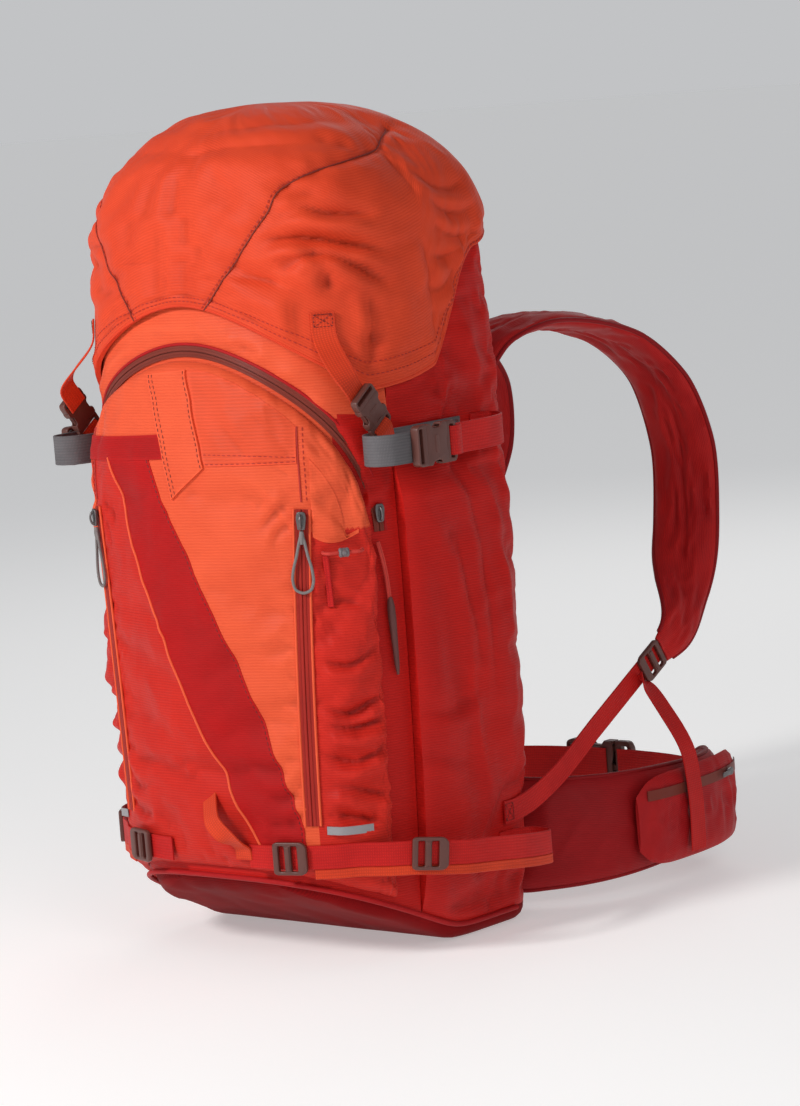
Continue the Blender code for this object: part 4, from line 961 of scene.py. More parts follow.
for side in (1, -1):
    zip_line = place_front([(side * ZIP_TOP[0], 0.392), (side * 0.110, 0.250), (side * ZIP_LOW[0], 0.112)])
    bulge += sewn(plain, normals, zip_line, 0.0, 0.006, 0.0011, 0.012, 3 + side)
    panel = np.clip((side * x - 0.113) / 0.012, 0, 1)
    bulge += panel * 0.0016 * crumple(run_s, z + 0.15 * np.abs(run_s), 0.075, 0.019, 5 + side) * np.clip(
        (0.375 - z) / 0.05, 0, 1)
    for pairs, depth, width in (
            ([(0.122, 0.258), (0.140, 0.252), (0.152, 0.262)], 0.0040, 0.004),
            ([(0.120, 0.222), (0.136, 0.212), (0.155, 0.224)], 0.0064, 0.005),
            ([(0.119, 0.207), (0.140, 0.200), (0.156, 0.207)], 0.0062, 0.005),
            ([(0.118, 0.180), (0.138, 0.172), (0.154, 0.182)], 0.0054, 0.005),
            ([(0.117, 0.156), (0.136, 0.150), (0.152, 0.140)], 0.0050, 0.005),
            ([(0.123, 0.300), (0.140, 0.304), (0.152, 0.296)], 0.0024, 0.004),
            ([(0.116, 0.130), (0.134, 0.126), (0.148, 0.118)], 0.0036, 0.005)):
        shift = 0.0 if side > 0 else 0.011
        bulge += fold(plain, normals, place_front([(side * a, b + shift) for a, b in pairs]), depth, width)
    for pairs, depth, width in (
            ([(0.110, 0.388), (0.097, 0.380), (0.084, 0.366)], 0.0030, 0.0042),
            ([(0.110, 0.374), (0.098, 0.364), (0.090, 0.350)], 0.0018, 0.0038),
            ([(0.099, 0.182), (0.078, 0.170), (0.056, 0.174)], 0.0018, 0.006),
            ([(0.100, 0.156), (0.084, 0.144), (0.060, 0.152)], 0.0026, 0.005),
            ([(0.098, 0.132), (0.080, 0.122), (0.064, 0.126)], 0.0022, 0.0045)):
        bulge += fold(plain, normals, place_front([(side * a, b) for a, b in pairs]), depth, width)
    for i, b in enumerate((0.338, 0.314, 0.292, 0.268, 0.246, 0.224, 0.204)):
        pairs = [(side * 0.104, b), (side * 0.080, b + 0.004 * (-1) ** i), (side * 0.056, b + 0.002)]
        bulge += fold(plain, normals, place_front(pairs), 0.0010, 0.0055)
for pairs, depth, width in (([(0.003, 0.390), (-0.012, 0.370), (-0.017, 0.350)], 0.0030, 0.0045),
                            ([(0.032, 0.412), (0.016, 0.388), (0.008, 0.366)], 0.0024, 0.0050),
                            ([(0.074, 0.424), (0.060, 0.440), (0.050, 0.452)], 0.0026, 0.0055),
                            ([(0.100, 0.440), (0.088, 0.450), (0.078, 0.464)], 0.0018, 0.0050)):
    bulge += fold(plain, normals, place_front(pairs), depth, width)
bulge += 0.0011 * crumple(run_s, z, 0.034, 0.030, 17) * np.clip(inset / 0.02, 0, 1)
edge_line = plain[:, -1]
edge_run = run_length(edge_line, 0)[:, None] + 0 * z
hug = waver(edge_run, 0.011, 2.2, 0.7)
bulge += 0.0016 * hug * np.exp(-np.abs(inset - 0.006) / 0.008)
foot_gap = np.clip((z - low - 0.004) / 0.018, 0, 1)
held = np.clip(np.abs(np.abs(x) - 0.110) / 0.012, 0.15, 1)
strap_gap = np.clip((np.abs(z - LOOP_Z) - 0.010) / 0.012, 0.12, 1)
limit = np.where(np.abs(x) > 0.036, np.minimum(held, strap_gap), foot_gap)
sewn_here = 1 - inset / 0.006
for side in (1, -1):
    zip_line = place_front([(side * 0.113, 0.455), (side * ZIP_TOP[0], 0.392), (side * 0.110, 0.250),
                            (side * ZIP_LOW[0], 0.112)])
    sewn_here = np.maximum(sewn_here, 1.6 - from_line(plain, normals, zip_line)[0] / 0.007)
sewn_here = np.maximum(sewn_here, (1.5 - np.abs(z - LOOP_Z) / 0.014) * (np.abs(x) > 0.036))
move = draped(plain[::3, ::3], sewn_here[::3, ::3], 0.016, 2.0, 3.0)
bulge = bulge + np.clip(finer(finer(move, 241, 0), 181, 1), -0.004, 0.008)
bulge = np.where(bulge > 0, bulge * limit, np.maximum(bulge, -0.0062))
face = plain + normals * bulge[..., None]
pocket = cloth_piece("pocket", face, skin(s, z, LAYER), np.stack([run_s, z], -1))
fit(pocket, ripstop_orange, "pack", "front_pocket")
paint(pocket, ripstop_panel, red_part)
POCKET_TREE = BVHTree.FromObject(pocket, bpy.context.evaluated_depsgraph_get())


def on_pocket(x, z, lift):
    """Points on the sewn pocket, lifted off the cloth."""
    x, z = np.broadcast_arrays(np.asarray(x, float), np.asarray(z, float))
    s = place_at_x(x, z, POCKET_T)
    start = lifted(pocket_face, s, z, 0 * z + 0.03)
    normal = facing(pocket_face, s, z)
    found = []
    for point, way in zip(start.reshape(-1, 3), normal.reshape(-1, 3)):
        hit = POCKET_TREE.ray_cast(Vector(point), -Vector(way), 0.06)[0]
        found.append(np.array(hit if hit is not None else point - way * 0.03) + way * lift)
    return np.array(found).reshape(start.shape)


def patch(name, x, z, lift, finish):
    """A piece of cloth sewn flat on the pocket."""
    face = on_pocket(x, z, lift)
    cut = np.stack([run_length(face, 0), z], -1)
    return fit(cloth_piece(name, face, on_pocket(x, z, 0.00005), cut), finish, "pack")


def arch_over(x, z):
    """Height of the pocket top above a point of its face."""
    return arch((place_at_x(x, z) - 4) / (4 - POCKET_S))


def pocket_way(x, z):
    """Outward direction of the pocket face."""
    return facing(pocket_face, place_at_x(x, z), z)


def stitches(name, line, up, finish, body="pack", pitch=0.0046, length=0.0031, radius=0.00036):
    """A row of lock stitches: short tapered runs of thread along a line."""
    line = np.asarray(line, float)
    run = run_length(line, 0)
    count = max(2, int(run[-1] / pitch))
    points = []
    faces = []
    for middle in (np.arange(count) + 0.5) * run[-1] / count:
        ends = []
        for k in (-0.5, -0.25, 0.25, 0.5):
            r = np.clip(middle + k * length, 0, run[-1])
            ends.append(np.array([np.interp(r, run, line[:, i]) for i in range(3)]))
        way = unit(ends[3] - ends[0])
        rise = np.array([np.interp(middle, run, np.broadcast_to(up, line.shape)[:, i]) for i in range(3)])
        aside = unit(np.cross(way, rise))
        rise = np.cross(aside, way)
        start = len(points)
        for end, grow in zip(ends, (0.35, 1.0, 1.0, 0.35)):
            for a in (0.3, 1.57, 2.84, 4.71):
                points.append(end + radius * grow * (aside * math.cos(a) + rise * math.sin(a)))
        for j in range(3):
            for i in range(4):
                n = (i + 1) % 4
                ring = start + 4 * j
                faces.append([ring + i, ring + n, ring + 4 + n, ring + 4 + i])
        faces += [[start + i for i in (3, 2, 1, 0)], [start + 12 + i for i in range(4)]]
    made = mesh_piece(name, points, faces)
    outside(made.data)
    return fit(made, finish, body)


def thread(name, code):
    made, tree, shader = new_material(name, code, 0.6)
    place = add(tree, "ShaderNodeTexCoord").outputs["Object"]
    twist = add(tree, "ShaderNodeTexWave", {"Scale": band_scale(0.6)}, {"Vector": place},
                bands_direction="DIAGONAL")
    tone = add(tree, "ShaderNodeMix", {6: linear(code), 7: toned(code, 0.5)},
               {0: twist.outputs["Fac"]}, data_type="RGBA")
    tree.links.new(tone.outputs[2], shader.inputs["Base Color"])
    return made


thread_red = thread("bonded_thread_red", "C2281C")
thread_dark = thread("bonded_thread_dark_red", "7A1412")
twill_orange = woven_nylon("twill_nylon_orange", "E05030", "C44426", 2.8)
stripe_red = woven_nylon("packcloth_nylon_red", "B30F10", "980B0D", 1.5, rough=0.65)
b = np.linspace(0, 1, 90)[None, :]
a = np.linspace(0, 1, 24)[:, None]
z = STRIPE_TOP + (STRIPE_FOOT - STRIPE_TOP) * b + 0 * a
left = np.polyval(STRIPE_LEFT, z)
right = np.minimum(np.polyval(STRIPE_RIGHT, z), 0.0965)
patch("pocket_stripe", left + (right - left) * a, z, 0.0007, stripe_red)
line = on_pocket(right[0] - 0.0022, z[0], 0.0009)
stitches("stripe_stitch", line, pocket_way(right[0], z[0]), thread_dark)
fit(tube("stripe_cord", on_pocket(left[0], z[0], 0.0009), 0.0011, 8), ripstop_orange, "pack")
a = np.linspace(0, 1, 22)[:, None]
b = np.linspace(0, 1, 60)[None, :]
left = -0.030 + 0.034 * b
right = 0.013 + 0.023 * b
x = left + (right - left) * a
z = (0.493 - 0.101 * b) * (1 - a) + (0.496 - 0.079 * b) * a
z = np.minimum(z, arch_over(x, z) - 0.004)
patch("pocket_pleat", x, z, 0.0022, ripstop_orange)
for name, k in (("left_outer", 0.05), ("left_inner", 0.16), ("right", 0.95)):
    column = int(round(k * 21))
    line = on_pocket(x[column], z[column], 0.0024)
    stitches("pleat_stitch_" + name, line, pocket_way(x[column], z[column]), thread_dark)
a = np.linspace(0, 1, 40)[:, None]
b = np.linspace(0, 1, 30)[None, :]
x = (0.037 - 0.022 * b) + (0.114 - 0.037 + 0.022 * b) * a
crown = arch_over(x, 0.45 + 0 * x) - 0.004
z = 0.418 + (crown - 0.418) * b
patch("pocket_yoke", x, z, 0.0009, twill_orange)
for row in (0, 3):
    line = on_pocket(x[:, row], z[:, row] + 0.0016, 0.0011)
    stitches("yoke_stitch_%d" % row, line, pocket_way(x[:, row], z[:, row]), thread_red)
a = np.linspace(0, 1, 40)[:, None]
b = np.linspace(0, 1, 12)[None, :]
z = 0.420 + 0.004 * a + 0.020 * b
under_pleat = -0.029 + 0.034 * (0.493 - z) / 0.101
patch("pocket_strap", -0.132 + (0.132 + under_pleat) * a, z, 0.0012, stripe_red)

for name, side in SIDES:
    x = side * np.linspace(ZIP_TOP[0], 0.1145, 40)
    crown = arch_over(x[-1:], np.array([0.45]))[0] - 0.003
    z = np.linspace(ZIP_TOP[1] + 0.006, crown, 40)
    seam = on_pocket(x, z, 0.0004)
    fit(tube("zip_head_seam_" + name, seam, 0.0007, 6), thread_red, "pack")
    stitches("zip_head_stitch_" + name, on_pocket(x + side * 0.004, z, 0.0004),
             pocket_way(x, z), thread_red)
    a = np.linspace(0, 1, 26)[:, None]
    b = np.linspace(0, 1, 20)[None, :]
    x = 0.1225 + 0.0265 * a + 0 * b
    crown = arch_over(x, 0.40 + 0 * x) - 0.005
    foot = FLAP_Z + 0.006 * (2 * a - 1) ** 2
    z = foot + np.maximum(crown - foot, 0.004) * b * 0.8
    puff = 0.0006 + 0.0022 * np.sin(np.clip(b / 0.5, 0, 1) * math.pi) * np.sin(a * math.pi) ** 0.5
    face = on_pocket(side * x, z, 0.0)
    face = face + facing(pocket_face, place_at_x(side * x, z, POCKET_T), z) * puff[..., None]
    piece = cloth_piece("pocket_flap_" + name, face, on_pocket(side * x, z, 0.00005), np.stack([x, z], -1))
    fit(piece, ripstop_orange, "pack")

# Zips: coil zips with a coated tape, one round the pocket arch and one upright on each side of the pocket,
# with cast sliders. The upright ones have pulls of stiffened cord bent to a drop.
ARCH_AWAY = 0.008
SLIDER_L, SLIDER_T = 0.015, 0.005
PULL_T = 0.0026
zip_tape = woven_nylon("coated_zip_tape_brown", "7C3428", "63261E", 0.8, rough=0.42)
zip_flap = woven_nylon("coated_zip_tape_red", "A8291F", "8A1E18", 0.8, rough=0.45)
cast_metal = hard("cast_zinc_grey", "6E6A6A", 0.38, 0.9, 0.25)
cord_grey = woven_nylon("stiff_cord_grey", "837C7A", "5E5857", 0.9, flat_cloth=False)


def zip_profile(width, lip):
    """Half of the tape on each side rises to a lip beside the closed teeth."""
    h = width / 2
    half = [(-h, 0.0), (-h, 0.0005), (-h * 0.62, 0.0008), (-h * 0.45, 0.0006), (-lip * 1.6, 0.0008),
            (-lip * 0.9, 0.0013), (-lip * 0.35, 0.0012), (-0.00012, 0.0004)]
    return half + [(-a, b) for a, b in reversed(half)]


turn = np.radians(np.linspace(-90, 90, 221))
q = np.sin(turn)
arch_s = 4 + q * (4 - POCKET_S) + ARCH_AWAY * q / 0.15 * 0.64
arch_z = arch(q) + ARCH_AWAY * np.cos(turn)
line = lifted(skin, arch_s, arch_z, 0 * arch_z + LAYER)
normal = facing(skin, arch_s, arch_z)
along = unit(np.gradient(line, axis=0))
tape = swept("arch_zip_tape", line, np.cross(normal, along), zip_profile(0.0092, 0.0016))
fit(tape, zip_tape, "pack", "arch_zip")
rim_line = lifted(skin, arch_s, arch_z, 0 * arch_z + 0.0012) + np.cross(normal, along) * -0.0058
fit(tube("arch_zip_piping", rim_line, 0.0013, 8), braid_red, "pack")


def slider(name, node, seat, down, across, normal, finish):
    """Cast slider: a waisted body on the teeth and a bridge for the pull."""
    body = rounded([(-7.5, -3.2), (-3.0, -4.4), (7.5, -3.0), (7.5, 3.0), (-3.0, 4.4), (-7.5, 3.2)], 2.0)
    bridge = oblong(-5.5, 6.5, -1.5, 1.5, 1.2)
    parts = moulded(name, [([body], 0.2, 2.4, 0.6), ([bridge], 2.2, 3.2, 0.35)], (seat, down, across, normal))
    hoop = [seat + down * (0.0005 - 0.0052 * math.cos(t)) + normal * (0.0028 + 0.0024 * math.sin(t))
            for t in np.linspace(0, math.pi, 15)]
    line = np.array([tuple(p) for p in hoop])
    return fit(joined(name, parts, tube(name + "_bridge", line, 0.0010, 8)), finish, node, node)


normal = Vector(facing(skin, arch_s[0], arch_z[0] + SLIDER_L))
seat = Vector(lifted(skin, arch_s[0], arch_z[0] + SLIDER_L, 2 * LAYER + 0.0014))
slider("arch_zip_slider", "arch_slider", seat, -Z, normal.cross(Z).normalized(),
       (normal - Z * normal.z).normalized(), cast_metal)
for name, side in SIDES:
    t = np.linspace(0, 1, 80)
    x = ZIP_TOP[0] + (ZIP_LOW[0] - ZIP_TOP[0]) * t
    z = ZIP_TOP[1] + (ZIP_LOW[1] - ZIP_TOP[1]) * t
    s = place_at_x(x, z, POCKET_T)
    s = s if side > 0 else 8 - s
    line = lifted(pocket_face, s, z, 0 * z + 0.0006)
    normals = facing(pocket_face, s, z)
    along = unit(np.gradient(line, axis=0))
    tape = swept("upright_zip_" + name, line, np.cross(normals, along), zip_profile(0.0128, 0.0018))
    fit(tape, zip_flap, "pack", "front_zip_" + name)
    for edge in (-1, 1):
        welt = line + np.cross(normals, along) * 0.0066 * edge + normals * 0.0004
        fit(tube("zip_welt_%s_%d" % (name, edge + 1), welt, 0.0011, 8), ripstop_orange, "pack")
    top = Vector(lifted(pocket_face, s[0], z[0], 0.0014 + 2 * LAYER))
    foot = Vector(lifted(pocket_face, s[-1], z[-1], 0.0014 + 2 * LAYER))
    down = (foot - top).normalized()
    normal = Vector(facing(pocket_face, s[32], z[32]))
    across = down.cross(normal).normalized()
    normal = across.cross(down).normalized()
    normal = -normal if normal.y > 0 else normal
    seat = top + down * SLIDER_L * 0.6
    slider("upright_slider_" + name, "zip_slider_" + name, seat, down, across, normal, cast_metal)
    pin = seat + down * (SLIDER_L / 2 + GAP) + normal * (SLIDER_T * 0.5) - normal * PULL_T / 2
    drop = [(0.001, 0.0), (0.010, 0.0024), (0.020, 0.0046), (0.032, 0.0078), (0.041, 0.0086), (0.048, 0.0062),
            (0.0505, 0.0)]
    drop = drop + [(a, -b) for a, b in reversed(drop[1:-1])] + [(0.001, 0.0)]
    shape = smooth_line([pin + down * a + across * b for a, b in drop], 90)[0]
    loop = tube("pull_loop", shape, 0.00125, 10)
    knot_line = np.array([tuple(pin + down * k) for k in np.linspace(0.0005, 0.011, 9)])
    knot = tube("pull_knot", knot_line, 0.0012 + 0.0010 * np.sin(np.linspace(0.4, math.pi - 0.2, 9)), 10)
    fit(joined("zip_pull_loop_" + name, loop, knot), cord_grey, "zip_pull_" + name, "zip_pull_" + name)

# Lid: a pocketed cap of the same ripstop, a front panel seamed to a gathered rear, hemmed all round
# with elastic so that its rear sides are drawn into folds.
LID_OUT = 0.0011
LID_WALL = 0.005
LID_SEAT = 0.004
LID_ROUND = 2.1
LID_CENTRE = 0.112
LID_TOP = 0.702
LID_HANG = 0.010
LID_STRAP_S = 3.42
LID_STRAP_Z = 0.528
LID_SEAM = (((3.86, 0), (3.78, 1.1), (3.67, 2.2), (3.57, 3.1), (3.49, 3.9)),
            ((3.49, 3.9), (3.36, 4.3), (3.1, 4.7), (2.7, 5.2), (2.2, 5.6)))
LID_SEAM_LEFT = 0.10
thread_seam = thread("bonded_thread_brown", "8C2A18")


def lid_point(s, row, out, top):
    """Rows 0 to 2 are the skirt, rows above follow the dome up to its middle."""
    s, row = np.broadcast_arrays(np.asarray(s, float), np.asarray(row, float))
    place = np.minimum(s, 8 - s)
    low = lid_edge(s) - LID_HANG * np.clip((place - 1.4) / 0.6, 0, 1) * np.clip((3.2 - place) / 0.6, 0, 1)
    shoulder = np.maximum(BAG_TOP, low) + LID_SEAT
    skirt = skin(s, low + (shoulder - low) * np.clip(row, 0, 2) / 2, out)
    turn = np.radians(np.clip((row - 2) * 14, 0, 90))
    share = (np.maximum(np.cos(turn), 0) ** (2 / LID_ROUND))[..., None]
    middle = np.stack([0 * s, 0 * s + BACK_Y - LID_CENTRE, shoulder], -1)
    dome = middle + (skirt - middle) * share
    dome[..., 2] = shoulder + (top - shoulder) * np.sin(turn) ** (2 / LID_ROUND)
    return np.where((row > 2)[..., None], dome, skirt)


def on_lid(*pairs):
    """A line on the lid through (place, row) pairs."""
    s, row = smooth_line([(a, b, 0) for a, b in pairs], 24)[0].T[:2]
    return lid_point(s, row, LID_OUT + LID_WALL, LID_TOP)


def lid_seam(pairs, side):
    """A lid seam on the right, or carried over to the left."""
    return on_lid(*[(a if side > 0 else 8 - a + LID_SEAM_LEFT, b) for a, b in pairs])


s = np.linspace(0, 8, 421)[:-1, None]
row = np.concatenate([np.linspace(0, 2, 46), np.linspace(2, 8.4285, 92)[1:]])[None, :]
plain = lid_point(s, row, LID_OUT + LID_WALL, LID_TOP)
inner = lid_point(s, row, LID_OUT + 0.0012, LID_TOP - LID_WALL)
normals = unit(np.cross(np.gradient(plain, axis=1), np.roll(plain, -1, 0) - np.roll(plain, 1, 0)))
level = np.clip((row - 7.2) / 0.9, 0, 1)[..., None]
normals[:, -1] = (0, 0, 1)
normals = unit(normals * (1 - level) + np.array([0, 0, 1.0]) * level)
round_s = run_length(lid_point(s[:, 0], 2.0, 0.006, LID_TOP), 0)[:, None] + 0 * plain[..., 2]
up = run_length(plain, 1)
bulge = 0.0009 * crumple(round_s, up, 0.075, 0.060, 29) + 0.0005 * crumple(round_s, up, 0.022, 0.020, 31)
for side in (1, -1):
    def mark(*pairs):
        return on_lid(*[(a if side > 0 else 8 - a, b) for a, b in pairs])

    for pairs, groove, wide, draw, seed in ((LID_SEAM[0], 0.0018, 0.0035, 0.0012, 41),
                                            (LID_SEAM[1], 0.0022, 0.0040, 0.0020, 47)):
        bulge += sewn(plain, normals, lid_seam(pairs, side), groove, wide, draw, 0.014, seed + side)
    for pairs, depth, width in (
            (((3.60, 2.45), (3.46, 2.40), (3.32, 2.15), (3.18, 1.9)), 0.0105, 0.0062),
            (((3.52, 1.85), (3.42, 1.98), (3.30, 1.78), (3.20, 1.5)), 0.0098, 0.0060),
            (((3.46, 3.30), (3.36, 3.0), (3.22, 2.85)), 0.0085, 0.0060),
            (((3.44, 2.05), (3.40, 1.70), (3.39, 1.36)), 0.0070, 0.0065),
            (((3.27, 1.50), (3.25, 0.9), (3.30, 0.2)), 0.0045, 0.0060),
            (((3.74, 1.75), (3.62, 1.45), (3.44, 1.15)), 0.0050, 0.0090),
            (((3.62, 2.2), (3.50, 1.5), (3.45, 0.8)), 0.0022, 0.0090),
            (((4.10, 5.0), (3.75, 5.25), (3.3, 5.2)), 0.0040, 0.0100),
            (((4.02, 5.9), (3.5, 6.2), (2.9, 6.0)), 0.0026, 0.0100),
            (((2.75, 3.9), (2.5, 3.4), (2.2, 3.3), (1.9, 3.5)), 0.0050, 0.0070),
            (((2.80, 3.1), (2.5, 2.7), (2.2, 2.6), (1.9, 2.8)), 0.0060, 0.0070),
            (((2.78, 2.4), (2.55, 2.1), (2.3, 2.0), (2.0, 2.2)), 0.0055, 0.0065),
            (((2.85, 1.7), (2.6, 1.5), (2.3, 1.3)), 0.0045, 0.0060),
            (((2.95, 1.2), (2.7, 0.9), (2.45, 0.8)), 0.0040, 0.0060),
            (((3.05, 2.2), (2.95, 1.5), (2.92, 0.8)), 0.0040, 0.0070)):
        bulge += fold(plain, normals, mark(*pairs), depth if side > 0 else depth * 0.45, width)
sewn_here = 1.2 - up / 0.012
for side in (1, -1):
    for pairs in LID_SEAM:
        away = from_line(plain, normals, lid_seam(pairs, side))[0]
        sewn_here = np.maximum(sewn_here, 1.5 - away / 0.007)
panel_half = 0.36 - 0.09 * np.clip(row - 1, 0, 3) / 3 + 0.15 * (row / 4)
front_panel_here = np.clip((panel_half - np.abs(s - 4)) / 0.05, 0, 1)
sewn_here = np.maximum(sewn_here, 0.35 * front_panel_here * (row < 4.2))
sewn_here = np.maximum(sewn_here, 4 * (row - 8.0) + 0 * up)
move = draped(plain[::4, ::4], sewn_here[::4, ::4], 0.020, 2.0, 5.0, wrap=True)
bulge = bulge + np.clip(finer(finer(move, len(s), 0, True), row.shape[1], 1), -0.006, 0.009)
tuck = waver(round_s, 0.016, 6.1, 0.3)
bulge += 0.0020 * tuck * np.exp(-np.abs(up - 0.014) / 0.014)
bulge += -0.0012 * np.exp(-((up - 0.009) / 0.0022) ** 2)
strap_here = np.exp(-((np.minimum(s, 8 - s) - LID_STRAP_S) / 0.10) ** 6)
strap_here = strap_here * np.exp(-((plain[..., 2] - LID_STRAP_Z) / 0.022) ** 6)
free = 1 - np.minimum(1.3 * strap_here, 1)
bulge = np.where(bulge > 0, np.minimum(bulge, 0.008) * free, np.maximum(bulge, -0.0105))
bulge = bulge * np.clip(up / 0.010, 0.2, 1)
crown = np.clip((row - 6.6) / 1.6, 0, 1)
crown = crown * crown * (3 - 2 * crown)
bulge = bulge * (1 - crown) + bulge[:, -20:].mean() * crown
face = plain + normals * bulge[..., None]
sunk = np.maximum(-bulge - 0.003, 0)[..., None]
packcloth_orange = woven_nylon("packcloth_nylon_orange", "D83E20", "B83018", 1.4)
ripstop_lid = woven_nylon("ripstop_nylon_lid_orange", "DC4827", "CA3B1E", 2.4, 7.0)
lid = cloth_piece("lid_cap", face, inner - normals * sunk, np.stack([round_s, up], -1), wrap=True)
fit(lid, ripstop_lid, "lid", "lid")
hem_line = face[:, 1] - normals[:, 1] * 0.0012
fit(tube("lid_hem_binding", np.concatenate([hem_line, hem_line[:1]]), 0.0017, 8), packcloth_orange, "lid")
LID_TREE = BVHTree.FromObject(lid, bpy.context.evaluated_depsgraph_get())
for name, side in SIDES:
    for kind, shift in (("seam", 0.0), ("stitch", 0.014)):
        pairs = [(a + shift, b, 0) for a, b in LID_SEAM[0][:-1] + LID_SEAM[1]]
        if side < 0:
            pairs = [(8 - a + LID_SEAM_LEFT, b, 0) for a, b, c in pairs]
        place, level = smooth_line(pairs, 220)[0].T[:2]
        found = [LID_TREE.find_nearest(Vector(p)) for p in lid_point(place, level, LID_OUT + LID_WALL, LID_TOP)]
        way = np.array([tuple(f[1]) for f in found])
        line = np.array([tuple(f[0]) for f in found])
        for k in range(12):
            line[1:-1] = (line[:-2] + 2 * line[1:-1] + line[2:]) / 4
            way[1:-1] = unit(way[:-2] + 2 * way[1:-1] + way[2:])
        if kind == "seam":
            fit(tube("lid_seam_" + name, line + way * 0.0005, 0.0006, 6), thread_seam, "lid")
        else:
            stitches("lid_seam_stitch_" + name, line + way * 0.0008, way, thread_red, "lid")
for name, column in (("outer", 5), ("inner", 9)):
    line = face[:, column] + normals[:, column] * 0.0003
    stitches("lid_hem_stitch_" + name, np.concatenate([line, line[:1]]),
             np.concatenate([normals[:, column], normals[:1, column]]), thread_red, "lid")

# Lid straps: 20 mm webbing from the lid corners down to side-release buckles, whose tongues are sewn
# to the bag in front of the side seam.
WEB_T = 0.0016
WEB_20 = 0.020
WEB_25 = 0.025
WEB_38 = 0.038


def webbing(name, code, shade, pitch_mm=1.9):
    """Nylon webbing: cross ribs and a closer edge, drawn a little coarser than real so that it shows."""
    made, tree, shader = new_material(name, code, 0.6)
    place = add(tree, "ShaderNodeUVMap", uv_map="cut").outputs["UV"]
    ribs = add(tree, "ShaderNodeTexWave", {"Scale": band_scale(pitch_mm), "Distortion": 0.3}, {"Vector": place},
               bands_direction="X")
    yarn = add(tree, "ShaderNodeTexWave", {"Scale": band_scale(2.4), "Distortion": 0.3}, {"Vector": place},
               bands_direction="Y")
    fleck = add(tree, "ShaderNodeTexNoise", {"Scale": 800.0, "Detail": 2.0}, {"Vector": place})
    cloud = add(tree, "ShaderNodeTexNoise", {"Scale": 22.0, "Detail": 3.0}, {"Vector": place})
    weave = add(tree, "ShaderNodeMath", {}, {0: ribs.outputs["Fac"], 1: yarn.outputs["Fac"]},
                operation="MULTIPLY")
    tone = add(tree, "ShaderNodeMath", {1: 0.5}, {0: weave.outputs[0], 2: cloud.outputs[0]},
               operation="MULTIPLY_ADD")
    span = add(tree, "ShaderNodeMapRange", {1: 0.35, 2: 1.0, 3: 0.0, 4: 1.0}, {0: tone.outputs[0]})
    cloth = add(tree, "ShaderNodeMix", {6: linear(shade), 7: linear(code)}, {0: span.outputs[0]},
                data_type="RGBA")
    height = add(tree, "ShaderNodeMath", {1: 0.4}, {0: fleck.outputs[0], 2: weave.outputs[0]},
                 operation="MULTIPLY_ADD")
    bump = add(tree, "ShaderNodeBump", {"Strength": 0.5, "Distance": 0.00035}, {"Height": height.outputs[0]})
    tree.links.new(cloth.outputs[2], shader.inputs["Base Color"])
    tree.links.new(bump.outputs["Normal"], shader.inputs["Normal"])
    shader.inputs["Sheen Weight"].default_value = 0.02
    shader.inputs["Specular IOR Level"].default_value = 0.18
    return made


def web_profile(width, thick):
    """Flat webbing with rounded, slightly thicker edges."""
    h, t = width / 2, thick / 2
    half = [(-h, -0.3 * t), (-h + 0.6 * t, -t), (-h + 2.2 * t, -0.92 * t), (-h / 3, -0.86 * t)]
    low = half + [(-a, b) for a, b in reversed(half)]
    return low + [(a, -b) for a, b in reversed(low)]


def strap(name, points, sides, width, finish, body, *nodes, thick=WEB_T, step=0.0025, wave=0.0):
    """Webbing along a smooth line through the given points."""
    length = sum((Vector(b) - Vector(a)).length for a, b in zip(points, points[1:]))
    line, across = smooth_line(points, max(8, int(length / step)), sides)
    if wave:
        ripple = waver(np.arange(len(line)) * step, 0.05, wave * 900, 0.2)
        up = np.cross(unit(np.gradient(line, axis=0)), unit(across))
        line = line + up * (wave * ripple * np.sin(np.linspace(0, math.pi, len(line))))[:, None]
    return fit(swept(name, line, across, web_profile(width, thick)), finish, body, *nodes)


def scaled(outline, web):
    return [(a * web * 1000, b * web * 1000) for a, b in outline]


def socket(name, node, body, place, web, finish):
    """Buckle socket: two waisted plates with walls between them and a slotted bar at its rear."""
    plate = [(-1.0, -0.67), (-0.80, -0.67), (-0.70, -0.52), (-0.36, -0.52), (-0.26, -0.67), (0.0, -0.64),
             (0.0, -0.30), (-0.05, -0.16), (-0.05, 0.16), (0.0, 0.30),
             (0.0, 0.64), (-0.26, 0.67), (-0.36, 0.52), (-0.70, 0.52), (-0.80, 0.67), (-1.0, 0.67)]
    plate = scaled(rounded(plate, 0.07), web)
    tail = scaled(rounded([(-1.45, -0.60), (-1.45, 0.60), (-1.30, 0.67), (-0.94, 0.67), (-0.94, -0.67),
                           (-1.30, -0.67)], 0.09), web)
    slot = scaled(oblong(-1.35, -1.19, -0.55, 0.55, 0.05), web)
    ridge = scaled(oblong(-0.62, -0.44, -0.30, 0.30, 0.09), web)
    k = web * 1000
    plates = [([plate], 0.115 * k, 0.17 * k, 0.018 * k), ([plate], -0.17 * k, -0.115 * k, 0.018 * k),
              ([tail, slot], -0.16 * k, 0.16 * k, 0.04 * k), ([ridge], 0.16 * k, 0.185 * k, 0.010 * k)]
    for side in (-1, 1):
        v0, v1 = sorted((side * 0.587, side * 0.667))
        for u0, u1 in ((-0.96, -0.752), (-0.285, -0.005)):
            plates.append(([scaled(oblong(u0, u1, v0, v1, 0.02), web)], -0.13 * k, 0.13 * k, 0.01 * k))
    return fit(moulded(name, plates, place), finish, body, node)


